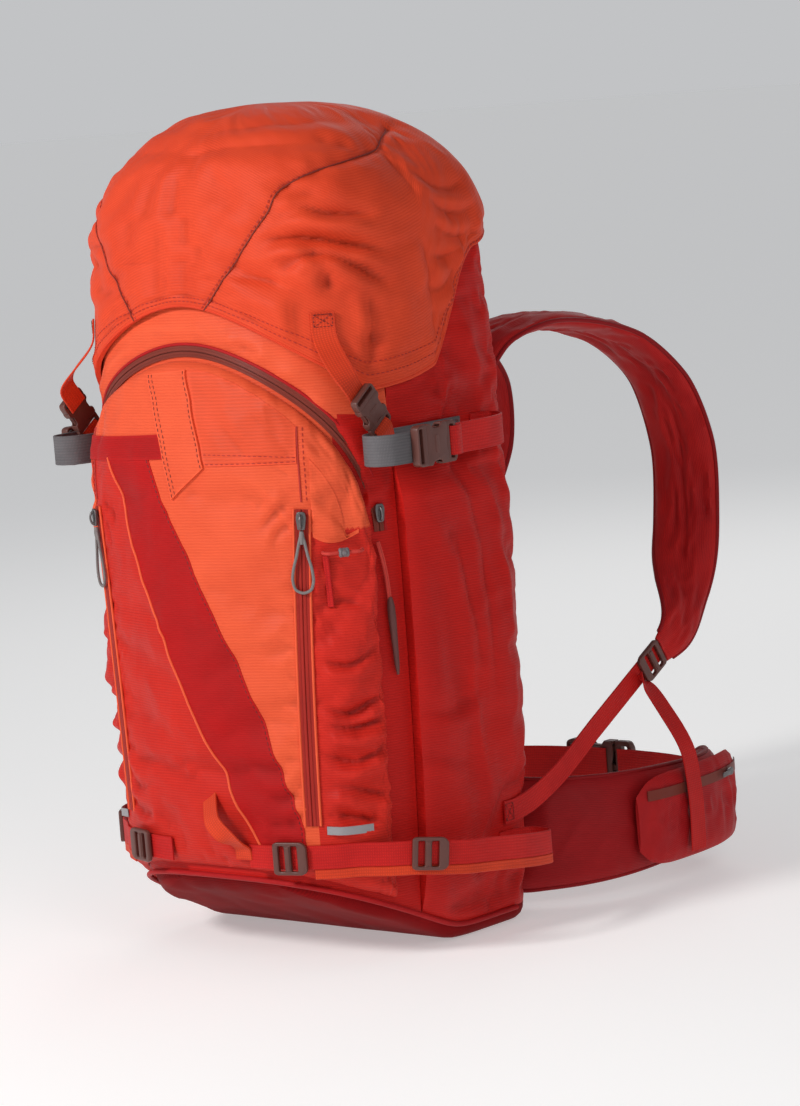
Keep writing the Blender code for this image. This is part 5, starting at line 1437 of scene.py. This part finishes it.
def tongue(name, node, place, web, finish):
    """Buckle tongue: two springing arms and a guide, on a base with its strap slot."""
    base = [(0.02, -0.67), (0.44, -0.67), (0.54, -0.52), (0.54, 0.52), (0.44, 0.67), (0.02, 0.67)]
    base = scaled(rounded(base, 0.08), web)
    slot = scaled(oblong(0.20, 0.40, -0.54, 0.54, 0.05), web)
    k = web * 1000
    plates = [([base, slot], -0.099 * k, 0.099 * k, 0.03 * k)]
    for side in (-1, 1):
        arm = [(0.06, side * 0.40), (-0.50, side * 0.43), (-0.82, side * 0.40), (-0.82, side * 0.48),
               (-0.72, side * 0.55), (-0.40, side * 0.545), (0.06, side * 0.55)]
        plates.append(([scaled(rounded(arm, 0.05), web)], -0.085 * k, 0.085 * k, 0.02 * k))
    plates.append(([scaled(oblong(-0.80, 0.06, -0.07, 0.07, 0.05), web)], -0.08 * k, 0.08 * k, 0.02 * k))
    return fit(moulded(name, plates, place), finish, node, node)


def ladder(name, node, body, place, web, finish):
    """Strap plate with two slots and a middle bar."""
    frame_line = [(0, -0.60), (0.14, -0.68), (1.30, -0.68), (1.50, -0.52), (1.50, 0.52), (1.30, 0.68),
                  (0.14, 0.68), (0, 0.60)]
    frame_line = scaled(rounded(frame_line, 0.16), web)
    slots = [scaled(oblong(a, b, -0.53, 0.53, 0.07), web) for a, b in ((0.24, 0.52), (0.80, 1.10))]
    k = web * 1000
    rib = scaled(oblong(0.56, 0.76, -0.50, 0.50, 0.05), web)
    return fit(moulded(name, [([frame_line] + slots, 0.0, 0.20 * k, 0.05 * k),
                              ([rib], 0.16 * k, 0.235 * k, 0.025 * k)], place), finish, body, node)


def at(x, y, z):
    """A point with y counted from the rear wall."""
    return Vector((x, BACK_Y + y, z))


def flipped(points, side):
    return [Vector((side * p[0], p[1], p[2])) for p in points]


def box_stitch(name, middle, along, across, up, long, wide, finish, body="pack"):
    """A sewn box with a cross, where webbing is fixed."""
    a = np.array(tuple(along)) * long / 2
    b = np.array(tuple(across)) * wide / 2
    c = np.array(tuple(middle))
    corners = [c - a - b, c + a - b, c + a + b, c - a + b, c - a - b, c + a + b, c + a - b, c - a + b]
    return stitches(name, np.array(corners), np.array(tuple(up)), finish, body, 0.0030, 0.0022, 0.0003)


web_orange = webbing("nylon_webbing_orange", "E0441F", "B8321A")
web_red = webbing("nylon_webbing_red", "CE1F1A", "AA1414")
web_grey = webbing("coated_webbing_grey", "6C686A", "565254", 1.2)
acetal_brown = hard("acetal_brown", "5E332B", 0.42, 0.0, 0.4)
MOUTH = at(0, -0.186, 0.448)
BUCKLE_PLANE = 0.1655
HINGE = at(0, LID_OUT + LID_WALL / 2, 0.588)
swing = MOUTH - HINGE
swing.x = 0
release = Vector((0, -swing.z, swing.y)).normalized()
for name, side in SIDES:
    out = X * side
    mouth = Vector((side * BUCKLE_PLANE, MOUTH.y, MOUTH.z))
    across = out.cross(release)
    place = (mouth, release, across, out)
    socket("lid_buckle_socket_" + name, "lid_socket_" + name, "lid", place, WEB_20, acetal_brown)
    tongue("lid_buckle_tongue_" + name, "lid_tongue_" + name, place, WEB_20, acetal_brown)
    under = mouth - out * (0.17 * WEB_20 + GAP + WEB_T / 2)
    root_s = LID_STRAP_S if side > 0 else 8 - LID_STRAP_S
    lift = LID_OUT + LID_WALL + GAP + WEB_T / 2
    roots = [Vector(skin(root_s, z, lift)) for z in (0.520, 0.536)]
    around = Vector(skin(root_s + 0.02, 0.520) - skin(root_s - 0.02, 0.520)).normalized()
    around = -around if around.dot(across) < 0 else around
    line = [under - release * k * WEB_20 for k in (0.9, 1.45, 1.8)] + roots
    strap("lid_web_" + name, line, [across] * 3 + [around] * 2, WEB_20, web_orange, "lid", "lid_strap_" + name)
    up = around.cross(roots[1] - roots[0]).normalized()
    up = -up if up.dot(out) < 0 else up
    box_stitch("lid_web_stitch_" + name, roots[0].lerp(roots[1], 0.6) + up * 0.001, Z, around, up, 0.010, 0.015,
               thread_dark, "lid")
    fold_line = [mouth + release * a * WEB_20 + out * b for a, b in
                 ((1.25, -0.0042), (0.80, -0.0036), (0.52, -0.0024), (0.30, -0.0001), (0.52, 0.0026),
                  (0.80, 0.0012), (1.25, -0.0022))]
    strap("lid_tongue_tab_" + name, fold_line, [across] * 7, WEB_20 * 0.95, web_orange, "lid_tongue_" + name,
          thick=0.0012, step=0.001)

# Upper ski straps: a grey coated band from the side of the bag to the socket, and a red web with the tongue
# that is sewn to the rear of the side. They stand off the bag as open loops.
SKI_OUT = 0.193
side_x = sizes(SKI_Z)[0] + GAP + WEB_T / 2
for name, side in SIDES:
    out = X * side
    front = [at(side_x, y, SKI_Z) for y in (-0.072, -0.100)]
    front += [at(side_x + dx, y, SKI_Z) for dx, y in ((0.001, -0.140), (0.0015, -0.165), (0.003, -0.190),
                                                    (0.008, -0.202), (0.017, -0.208))]
    front += [at(SKI_OUT - dx, y, SKI_Z) for dx, y in ((0.010, -0.207), (0.002, -0.199), (0, -0.186),
                                                       (0, -0.150))]
    line = flipped(front, side)
    strap("ski_band_" + name, line, [Z] * len(line), WEB_25, web_grey, "pack", "ski_strap_" + name)
    mouth = flipped([at(SKI_OUT + WEB_T / 2 + GAP + 0.17 * WEB_25, -0.144, SKI_Z)], side)[0]
    place = (mouth, Y, Z, out)
    socket("ski_buckle_socket_" + name, "ski_socket_" + name, "pack", place, WEB_25, acetal_brown)
    tongue("ski_buckle_tongue_" + name, "ski_tongue_" + name, place, WEB_25, acetal_brown)
    rear = [at(SKI_OUT, y, SKI_Z) for y in (-0.138, -0.110, -0.080)]
    rear += [at(SKI_OUT - 0.004, -0.062, SKI_Z), at(SKI_OUT - 0.014, -0.046, SKI_Z),
             at(SKI_OUT - 0.026, -0.038, SKI_Z), at(side_x + 0.004, -0.0365, SKI_Z)]
    rear += [at(side_x, y, SKI_Z) for y in (-0.042, -0.058)]
    line = flipped(rear, side)
    strap("ski_web_" + name, line, [Z] * len(line), WEB_25, web_red, "pack", "ski_web_" + name)
    seat = flipped([at(side_x + 0.001, -0.086, SKI_Z)], side)[0]
    box_stitch("ski_band_stitch_" + name, seat, Y, Z, out, 0.022, 0.019, thread_dark)
    front_turn = [mouth + Y * a * WEB_25 + out * b for a, b in
                  ((1.10, -0.0046), (0.80, -0.0036), (0.50, -0.0024), (0.30, 0.0), (0.44, 0.0033),
                   (0.62, 0.0030), (0.95, -0.0012))]
    strap("ski_tongue_turn_" + name, front_turn, [Z] * 7, WEB_25 * 0.95, web_red, "ski_tongue_" + name,
          thick=0.0013, step=0.001)

# Lower ski loops: webbing from the pocket foot, round the corner, out in an open loop and back to the rear
# corner, with a buckle plate in front, a hinged ladder lock at the side and a reflective strip.
LOOP_DROP = 0.024
reflective, tree, shader = new_material("reflective_tape_grey", "8E8A8C", 0.35)
beads = add(tree, "ShaderNodeTexVoronoi", {"Scale": 1400.0},
            {"Vector": add(tree, "ShaderNodeTexCoord").outputs["Object"]})
bump = add(tree, "ShaderNodeBump", {"Strength": 0.4, "Distance": 0.0002}, {"Height": beads.outputs["Distance"]})
tree.links.new(bump.outputs["Normal"], shader.inputs["Normal"])
for name, side in SIDES:
    points = []
    for x in (0.044, 0.064, 0.084, 0.102, 0.118, 0.131):
        points.append(Vector(lifted(pocket_face, place_at_x(x, LOOP_Z, POCKET_T), LOOP_Z, LAYER + WEB_T / 2)))
    for y, inward, drop in ((-0.198, 0.042, 0.05), (-0.182, 0.028, 0.1), (-0.164, 0.012, 0.2),
                            (-0.146, 0.003, 0.3), (-0.125, 0, 0.4),
                            (-0.055, 0, 0.8), (-0.036, 0.005, 0.9), (-0.022, 0.019, 1.0)):
        points.append(at(SKI_OUT - inward, y, LOOP_Z - LOOP_DROP * drop))
    foot_z = LOOP_Z - LOOP_DROP
    points.append(at(sizes(foot_z)[0] + 0.010, -0.0215, foot_z))
    points += [at(sizes(foot_z)[0] + LAYER + WEB_T / 2, y, foot_z) for y in (-0.033, -0.052)]
    line = flipped(points, side)
    strip = [p + Vector((0, 0, -0.0142)) for p in points[3:]]
    strap("ski_loop_strip_" + name, flipped(strip, side), [Z] * len(strip), 0.008, web_orange, "pack")
    strap("ski_loop_web_" + name, line, [Z] * len(line), WEB_20, web_red, "pack", "ski_loop_" + name)
    along = (points[3] - points[1]).normalized()
    normal = along.cross(Z).normalized()
    normal = -normal if normal.y > 0 else normal
    start = points[2] - along * 0.75 * WEB_20 + normal * (WEB_T / 2 + GAP)
    ladder("foot_buckle_" + name, "front_buckle_" + name, "pack",
           flipped((start, along, Z, normal), side), WEB_20, acetal_brown)
    along = (points[8] - points[7]).normalized()
    up = (Z - along * along.z).normalized()
    normal = up.cross(along).normalized()
    normal = -normal if normal.x < 0 else normal
    start = points[7].lerp(points[8], 0.5) - along * 0.75 * WEB_20 + normal * (WEB_T / 2 + LAYER)
    ladder("loop_lock_" + name, "ski_ladder_" + name, "ski_ladder_" + name,
           flipped((start, along, up, normal), side), WEB_20, acetal_brown)
    strip = [Vector(on_pocket(np.array([x]), np.array([0.118 - 0.05 * (x - 0.112)]), 0.0011)[0])
             for x in (0.114, 0.124, 0.134, 0.141)]
    strap("reflective_strip_" + name, flipped(strip, side), [Z] * 4, 0.007, reflective, "pack", thick=0.0008)

# Axe loop: folded webbing standing off the foot of the pocket, only on the right of the middle.
line = []
for x, z, lift in ((0.002, 0.158, 0.0), (0.006, 0.150, 0.001), (0.014, 0.138, 0.010), (0.022, 0.126, 0.017),
                   (0.030, 0.116, 0.015), (0.036, 0.108, 0.008), (0.0375, 0.102, 0.001), (0.0378, 0.093, 0.0)):
    line.append(Vector(lifted(pocket_face, place_at_x(x, z, POCKET_T), z, LAYER + WEB_T / 2 + lift)))
across = Vector((0.85, 0.0, 0.52))
strap("axe_loop_web", line, [across] * 5 + [X] * 3, 0.018, web_orange, "pack", "axe_loop", step=0.0015)

# Axe keeper: a cord sewn into both edges of the pocket side, with a barrel toggle on it and a short tab.
CORD_Z = 0.345
near = [Vector(lifted(pocket_face, place_at_x(x, CORD_Z, POCKET_T), CORD_Z, lift))
        for x, lift in ((0.1285, 0.0009), (0.1295, 0.007), (0.132, 0.0105))]
far = [Vector(lifted(pocket_face, place_at_x(x, CORD_Z, POCKET_T), CORD_Z, lift))
       for x, lift in ((0.1475, 0.0105), (0.1492, 0.007), (0.1498, 0.0009))]
run = near + [near[-1].lerp(far[0], k) for k in (0.33, 0.67)] + far
cord_red = woven_nylon("braided_cord_red", "D2453C", "A92A24", 0.9)
fit(tube("keeper_cord_braid", smooth_line(run, 60)[0], 0.0014, 12), cord_red, "pack", "keeper_cord")
along = (far[0] - near[-1]).normalized()
middle = near[-1].lerp(far[0], 0.5)
up = along.cross(Z).normalized()
barrel_line = np.array([tuple(middle + along * a) for a in np.linspace(-0.0042, 0.0042, 13)])
barrel_r = (0.0030, 0.0036, 0.0040, 0.0038, 0.0036, 0.0037, 0.0038)
outer = tube("toggle_barrel", barrel_line, np.array(barrel_r + barrel_r[-2::-1]), 16)
collar_line = np.array([tuple(middle + up * 0.003 + up * k) for k in np.linspace(0, 0.003, 5)])
button = tube("toggle_button", collar_line, np.array([0.0020, 0.0021, 0.0021, 0.0020, 0.0014]), 12)
acetal_grey = hard("acetal_grey", "6B6567", 0.45, 0.0, 0.4)
fit(joined("keeper_barrel", outer, button), acetal_grey, "keeper_toggle", "keeper_toggle")
tab = [Vector(on_pocket(np.array([x]), np.array([z]), lift)[0]) for x, z, lift in
       ((0.130, 0.342, 0.0016), (0.1305, 0.330, 0.0022), (0.131, 0.315, 0.0018), (0.1315, 0.300, 0.0014))]
strap("keeper_tab", tab, [X + Y * 0.6] * 4, 0.0052, web_red, "pack", thick=0.0016, step=0.0015)
pull = [Vector(skin(s, z, lift)) for s, z, lift in
        ((3.31, 0.348, 0.0045), (3.30, 0.335, 0.0052), (3.29, 0.318, 0.0046), (3.285, 0.300, 0.0044))]
strap("side_pull_tape", pull, [Y] * 4, 0.0042, cord_red, "pack", thick=0.0018, step=0.0015)
grip_line = np.array([tuple(skin(s, z, lift)) for s, z, lift in zip(
    np.linspace(3.285, 3.275, 16), np.linspace(0.302, 0.238, 16), np.linspace(0.0050, 0.0042, 16))])
grip_r = np.interp(np.linspace(0, 1, 16), (0, 0.1, 0.25, 0.9, 1), (0.0018, 0.0032, 0.0034, 0.0020, 0.0010))
grip = tube("side_pull_grip", grip_line, grip_r, 12)
rubber_brown = hard("moulded_rubber_brown", "5A2A26", 0.6, 0.0, 0.8)
fit(grip, rubber_brown, "pack")

# Haul loop: doubled webbing hanging from the rear edge of the mouth.
HAUL_Z = 0.556
line = []
for angle in np.radians(np.linspace(0, 180, 13)):
    c, d = math.cos(angle), math.sin(angle)
    r = ((abs(c) / 0.045) ** 3 + (abs(d) / 0.048) ** 3) ** (-1 / 3)
    line.append(at(r * c, 2 * GAP + 0.0013 + r * d * 0.45, HAUL_Z - r * d * 0.9))
lean = Vector((0, 0.9, 0.45))
ways = [lean.cross(b - a).normalized() for a, b in zip([line[0]] + line, line[1:] + [line[-1]])]
strap("haul_loop_web", line, ways, 0.015, web_red, "haul_loop", "haul_loop", thick=0.0026, step=0.002)

# Shoulder straps: foam under ruched red nylon with a mesh lining and bound edges, curving from the rear wall
# forwards and down. Each ends at a ladder lock on a web from the foot of the bag.


def cushion(name, points, sides, widths, deep, groove, ruffle, size, count, finish, body, node, seed):
    """Foam pad along a line, crowned, drawn in at its edges and stitched down its middle."""
    line, across, wide, thick = smooth_line(points, count, sides, widths, deep)
    turn = np.linspace(0, 2 * math.pi, 65)[:-1][None, :]
    c, d = np.cos(turn), np.sin(turn)
    reach = ((np.abs(c) / (wide / 2)) ** 2.6 + (np.abs(d) / (thick / 2)) ** 2.6) ** (-1 / 2.6)
    run = run_length(line, 0)[:, None]
    flat = reach * c
    up = reach * d
    spread = run + 0 * flat
    large = crumple(spread, flat + 3 * np.sign(d), size[0], size[1], seed)
    small = crumple(spread, flat + 5 * np.sign(d), size[0] * 0.5, size[1] * 0.7, seed + 1)
    folds = ruffle * (large + 0.5 * small - 0.5)
    ends = np.clip(np.minimum(run, run[-1] - run) / 0.02, 0.1, 1)
    edge = np.clip((1 - np.abs(flat) / (wide / 2)) / 0.25, 0, 1)
    up = up + np.sign(d) * folds * ends * edge
    up = up - groove * np.exp(-(flat / 0.0045) ** 2) * (d > 0) * thick / thick.max()
    pad = swept(name, line, across, np.stack([flat, up], -1))
    fit(pad, finish, body, node)
    along = unit(np.gradient(line, axis=0))
    across = unit(across - along * (across * along).sum(-1, keepdims=True))
    return line, across, np.cross(along, across), wide, thick


ruched_red = woven_nylon("ruched_nylon_red", "BC1E1B", "9A1216", 1.6)
LOCK = at(0.163, 0.150, 0.195)
WEB_FOOT_Z = 0.104
foot = at(sizes(WEB_FOOT_Z)[0] + 0.0035, 0.002, WEB_FOOT_Z)
lead = (LOCK - foot).normalized()
web_side = X.cross(lead).normalized()
face_out = lead.cross(web_side).normalized()
face_out = -face_out if face_out.x < 0 else face_out
lock_bar = LOCK + lead * 0.75 * WEB_20 + face_out * (WEB_T / 2 + GAP)
pad_end = lock_bar + face_out * 0.0022 + lead * 2 * GAP
pad_line = [at(0.060, 0.0244, 0.400), at(0.062, 0.0274, 0.425), at(0.065, 0.0350, 0.452),
            at(0.071, 0.062, 0.483), at(0.079, 0.110, 0.497), at(0.088, 0.170, 0.491), at(0.096, 0.228, 0.470),
            at(0.104, 0.272, 0.430), at(0.113, 0.288, 0.370), at(0.128, 0.266, 0.304), at(0.149, 0.224, 0.250),
            pad_end + lead * 0.020, pad_end]
pad_sides = [X] * 8 + [X + Z * 0.1 + Y * 0.15, X + Y * 0.4 + Z * 0.1, X * 0.55 + Y * 0.6 - Z * 0.5,
                       X * 0.2 + Y * 0.6 - Z * 0.8, Y * 0.6 - Z * 0.8]
pad_wide = [0.066 * k for k in (0.55, 0.9, 1, 1, 1, 1, 1, 0.97, 0.93, 0.88, 0.76)] + [0.034, 0.0272]
pad_deep = [0.014 * k for k in (0.5, 0.9, 1, 1, 1, 1, 1, 1, 1, 1, 0.95, 0.7, 0.4)]
for name, side in SIDES:
    line, across, up, wide, thick = cushion(
        "shoulder_strap_" + name, flipped(pad_line, side), flipped(pad_sides, side), pad_wide, pad_deep,
        0.0022, 0.0022, (0.050, 0.0105), 260, ruched_red, "pack", "shoulder_pad_" + name, 91)
    for edge in (-1, 1):
        bound = line + across * wide * 0.5 * edge
        fit(tube("shoulder_binding_%s_%d" % (name, edge + 1), bound[2:-2:2], 0.0021, 8), packcloth_dark, "pack")
    sewn_z = WEB_FOOT_Z - 0.006
    sewn_x = sizes(sewn_z + WEB_20 / 2)[0] + GAP + WEB_T / 2
    legs = [at(sewn_x, y, sewn_z) for y in (-0.046, -0.034)]
    legs += [foot + Vector((-0.001, -0.014, -0.002)), foot + lead * 0.02,
             foot.lerp(LOCK, 0.5), LOCK + lead * 0.012]
    tail = [LOCK - lead * 0.020 - face_out * 0.0002, at(0.168, 0.138, 0.176), at(0.183, 0.145, 0.150),
            at(0.1985, 0.149, 0.118), at(0.2035, 0.150, 0.080), at(0.2025, 0.150, 0.030)]
    side_way = flipped([web_side], side)[0]
    strap("shoulder_web_foot_" + name, flipped(legs, side), [side_way] * len(legs), WEB_20, web_red, "pack",
          "shoulder_web_" + name)
    tail_sides = [side_way, Z * 0.35 - Y * 0.9] + [-Y] * 4
    strap("shoulder_web_tail_" + name, flipped(tail, side), tail_sides, WEB_20, web_red, "pack", wave=0.0012)
    sewn_at = flipped([legs[0].lerp(legs[1], 0.5) + X * 0.001], side)[0]
    box_stitch("shoulder_web_stitch_" + name, sewn_at, Y, Z, X * side, 0.010, 0.014, thread_dark)
    place = flipped((lock_bar, -lead, web_side, face_out), side)
    ladder("shoulder_lock_" + name, "strap_lock_" + name, "strap_lock_" + name, place, WEB_20, acetal_brown)

# Hip belt: two foam wings that wrap the waist, each with a small zipped pouch, and a wide web with the buckle.
HIP_CENTRE = 0.150
HIP_HALF = 0.172
HIP_DEPTH = 0.145
HIP_POWER = 2.6
HIP_Z = 0.062
HIP_T = 0.018
WING_ROOT, WING_TIP = 0.100, 0.066
POUCH_T = 0.015
POUCH_TALL = 0.080
ZIP_RUN = slice(6, -6)
SLIDER_AT = -30


def waist(angle, out=0.0, z=HIP_Z):
    c, d = math.cos(math.radians(angle)), math.sin(math.radians(angle))
    wide = (abs(c) / (HIP_HALF + out)) ** HIP_POWER
    deep = (abs(d) / (HIP_DEPTH + out)) ** HIP_POWER
    r = (wide + deep) ** (-1 / HIP_POWER)
    return at(r * c, HIP_CENTRE + r * d, z)


belt_red = woven_nylon("packcloth_nylon_belt_red", "A5161A", "860E13", 1.6)
pouch_red = woven_nylon("ripstop_nylon_pouch_red", "B81C1C", "96121A", 1.8, 6.0)
for name, side in SIDES:
    line = flipped([waist(a) for a in np.linspace(-58, 50, 15)], side)
    tall = [WING_ROOT + (WING_TIP - WING_ROOT) * i / 14 for i in range(15)]
    tall[0] *= 0.9
    tall[-2] *= 0.94
    tall[-1] *= 0.72
    deep = [HIP_T * k for k in [0.7, 0.95] + [1] * 11 + [0.85, 0.4]]
    line, across, up, wide, thick = cushion(
        "hip_wing_pad_" + name, line, [Z * -side] * 15, tall, deep, 0.003, 0.0016,
        (0.034, 0.030), 200, belt_red, "pack", "hip_wing_" + name, 97)
    for edge in (-1, 1):
        bound = line + across * wide * 0.5 * edge
        fit(tube("hip_binding_%s_%d" % (name, edge + 1), bound[2:-2:2], 0.0022, 8), packcloth_dark, "pack")
    lift = HIP_T / 2 + LAYER + POUCH_T / 2
    line = flipped([waist(a, lift) for a in np.linspace(-18, 34, 17)], side)
    ends = np.abs(np.linspace(-1, 1, 17))
    tall = POUCH_TALL * (1 - 0.40 * ends ** 7)
    deep = POUCH_T * (1 - 0.75 * ends ** 5)
    line, across, up, wide, thick = cushion(
        "hip_pocket_" + name, line, [Z * -side] * 17, tall, deep, 0.0, 0.0022,
        (0.026, 0.030), 120, pouch_red, "pack", "hip_pouch_" + name, 103)
    out_way = up if (up[60] * (line[60] - np.array([0, BACK_Y + HIP_CENTRE, HIP_Z]))).sum() > 0 else -up
    top = line[ZIP_RUN] + np.array([0, 0, 0.024]) + out_way[ZIP_RUN] * (thick[ZIP_RUN] * 0.46 + 0.0016)
    zip_across = np.broadcast_to([0.0, 0.0, 1.0], top.shape)
    fit(swept("hip_pocket_zip_" + name, top, zip_across * -side, zip_profile(0.009, 0.0014)), zip_tape, "pack")
    zip_out = Vector(out_way[ZIP_RUN][SLIDER_AT])
    seat = Vector(top[SLIDER_AT]) + zip_out * 0.0012
    along = Vector(unit(top[SLIDER_AT] - top[SLIDER_AT - 4]))
    waisted = rounded([(-6, -2.6), (-2, -3.6), (6, -2.4), (6, 2.4), (-2, 3.6), (-6, 2.6)], 1.6)
    plates = [([waisted], 0.0, 2.6, 0.6), ([oblong(3, 20, -2.0, 2.0, 1.5)], 2.0, 3.4, 0.5)]
    parts = moulded("hip_zip_slider_" + name, plates, (seat, -along, Z, zip_out))
    fit(parts, cast_metal, "pack")
    web_line = [waist(a) for a in np.linspace(50.25, 75.0, 7)]
    web_line += [waist(90.0) + X * x for x in (0.030, 0.018, 0.007)]
    web_line = flipped(web_line, side)
    strap("hip_belt_web_" + name, web_line, [Z] * len(web_line), WEB_38, web_red, "pack", "hip_web_" + name)
mouth = waist(90.0) + Y * (WEB_T / 2 + 0.17 * WEB_38 + GAP)
place = (mouth, X, Z, Y)
socket("hip_buckle_socket", "hip_socket", "pack", place, WEB_38, acetal_brown)
tongue("hip_buckle_tongue", "hip_tongue", place, WEB_38, acetal_brown)
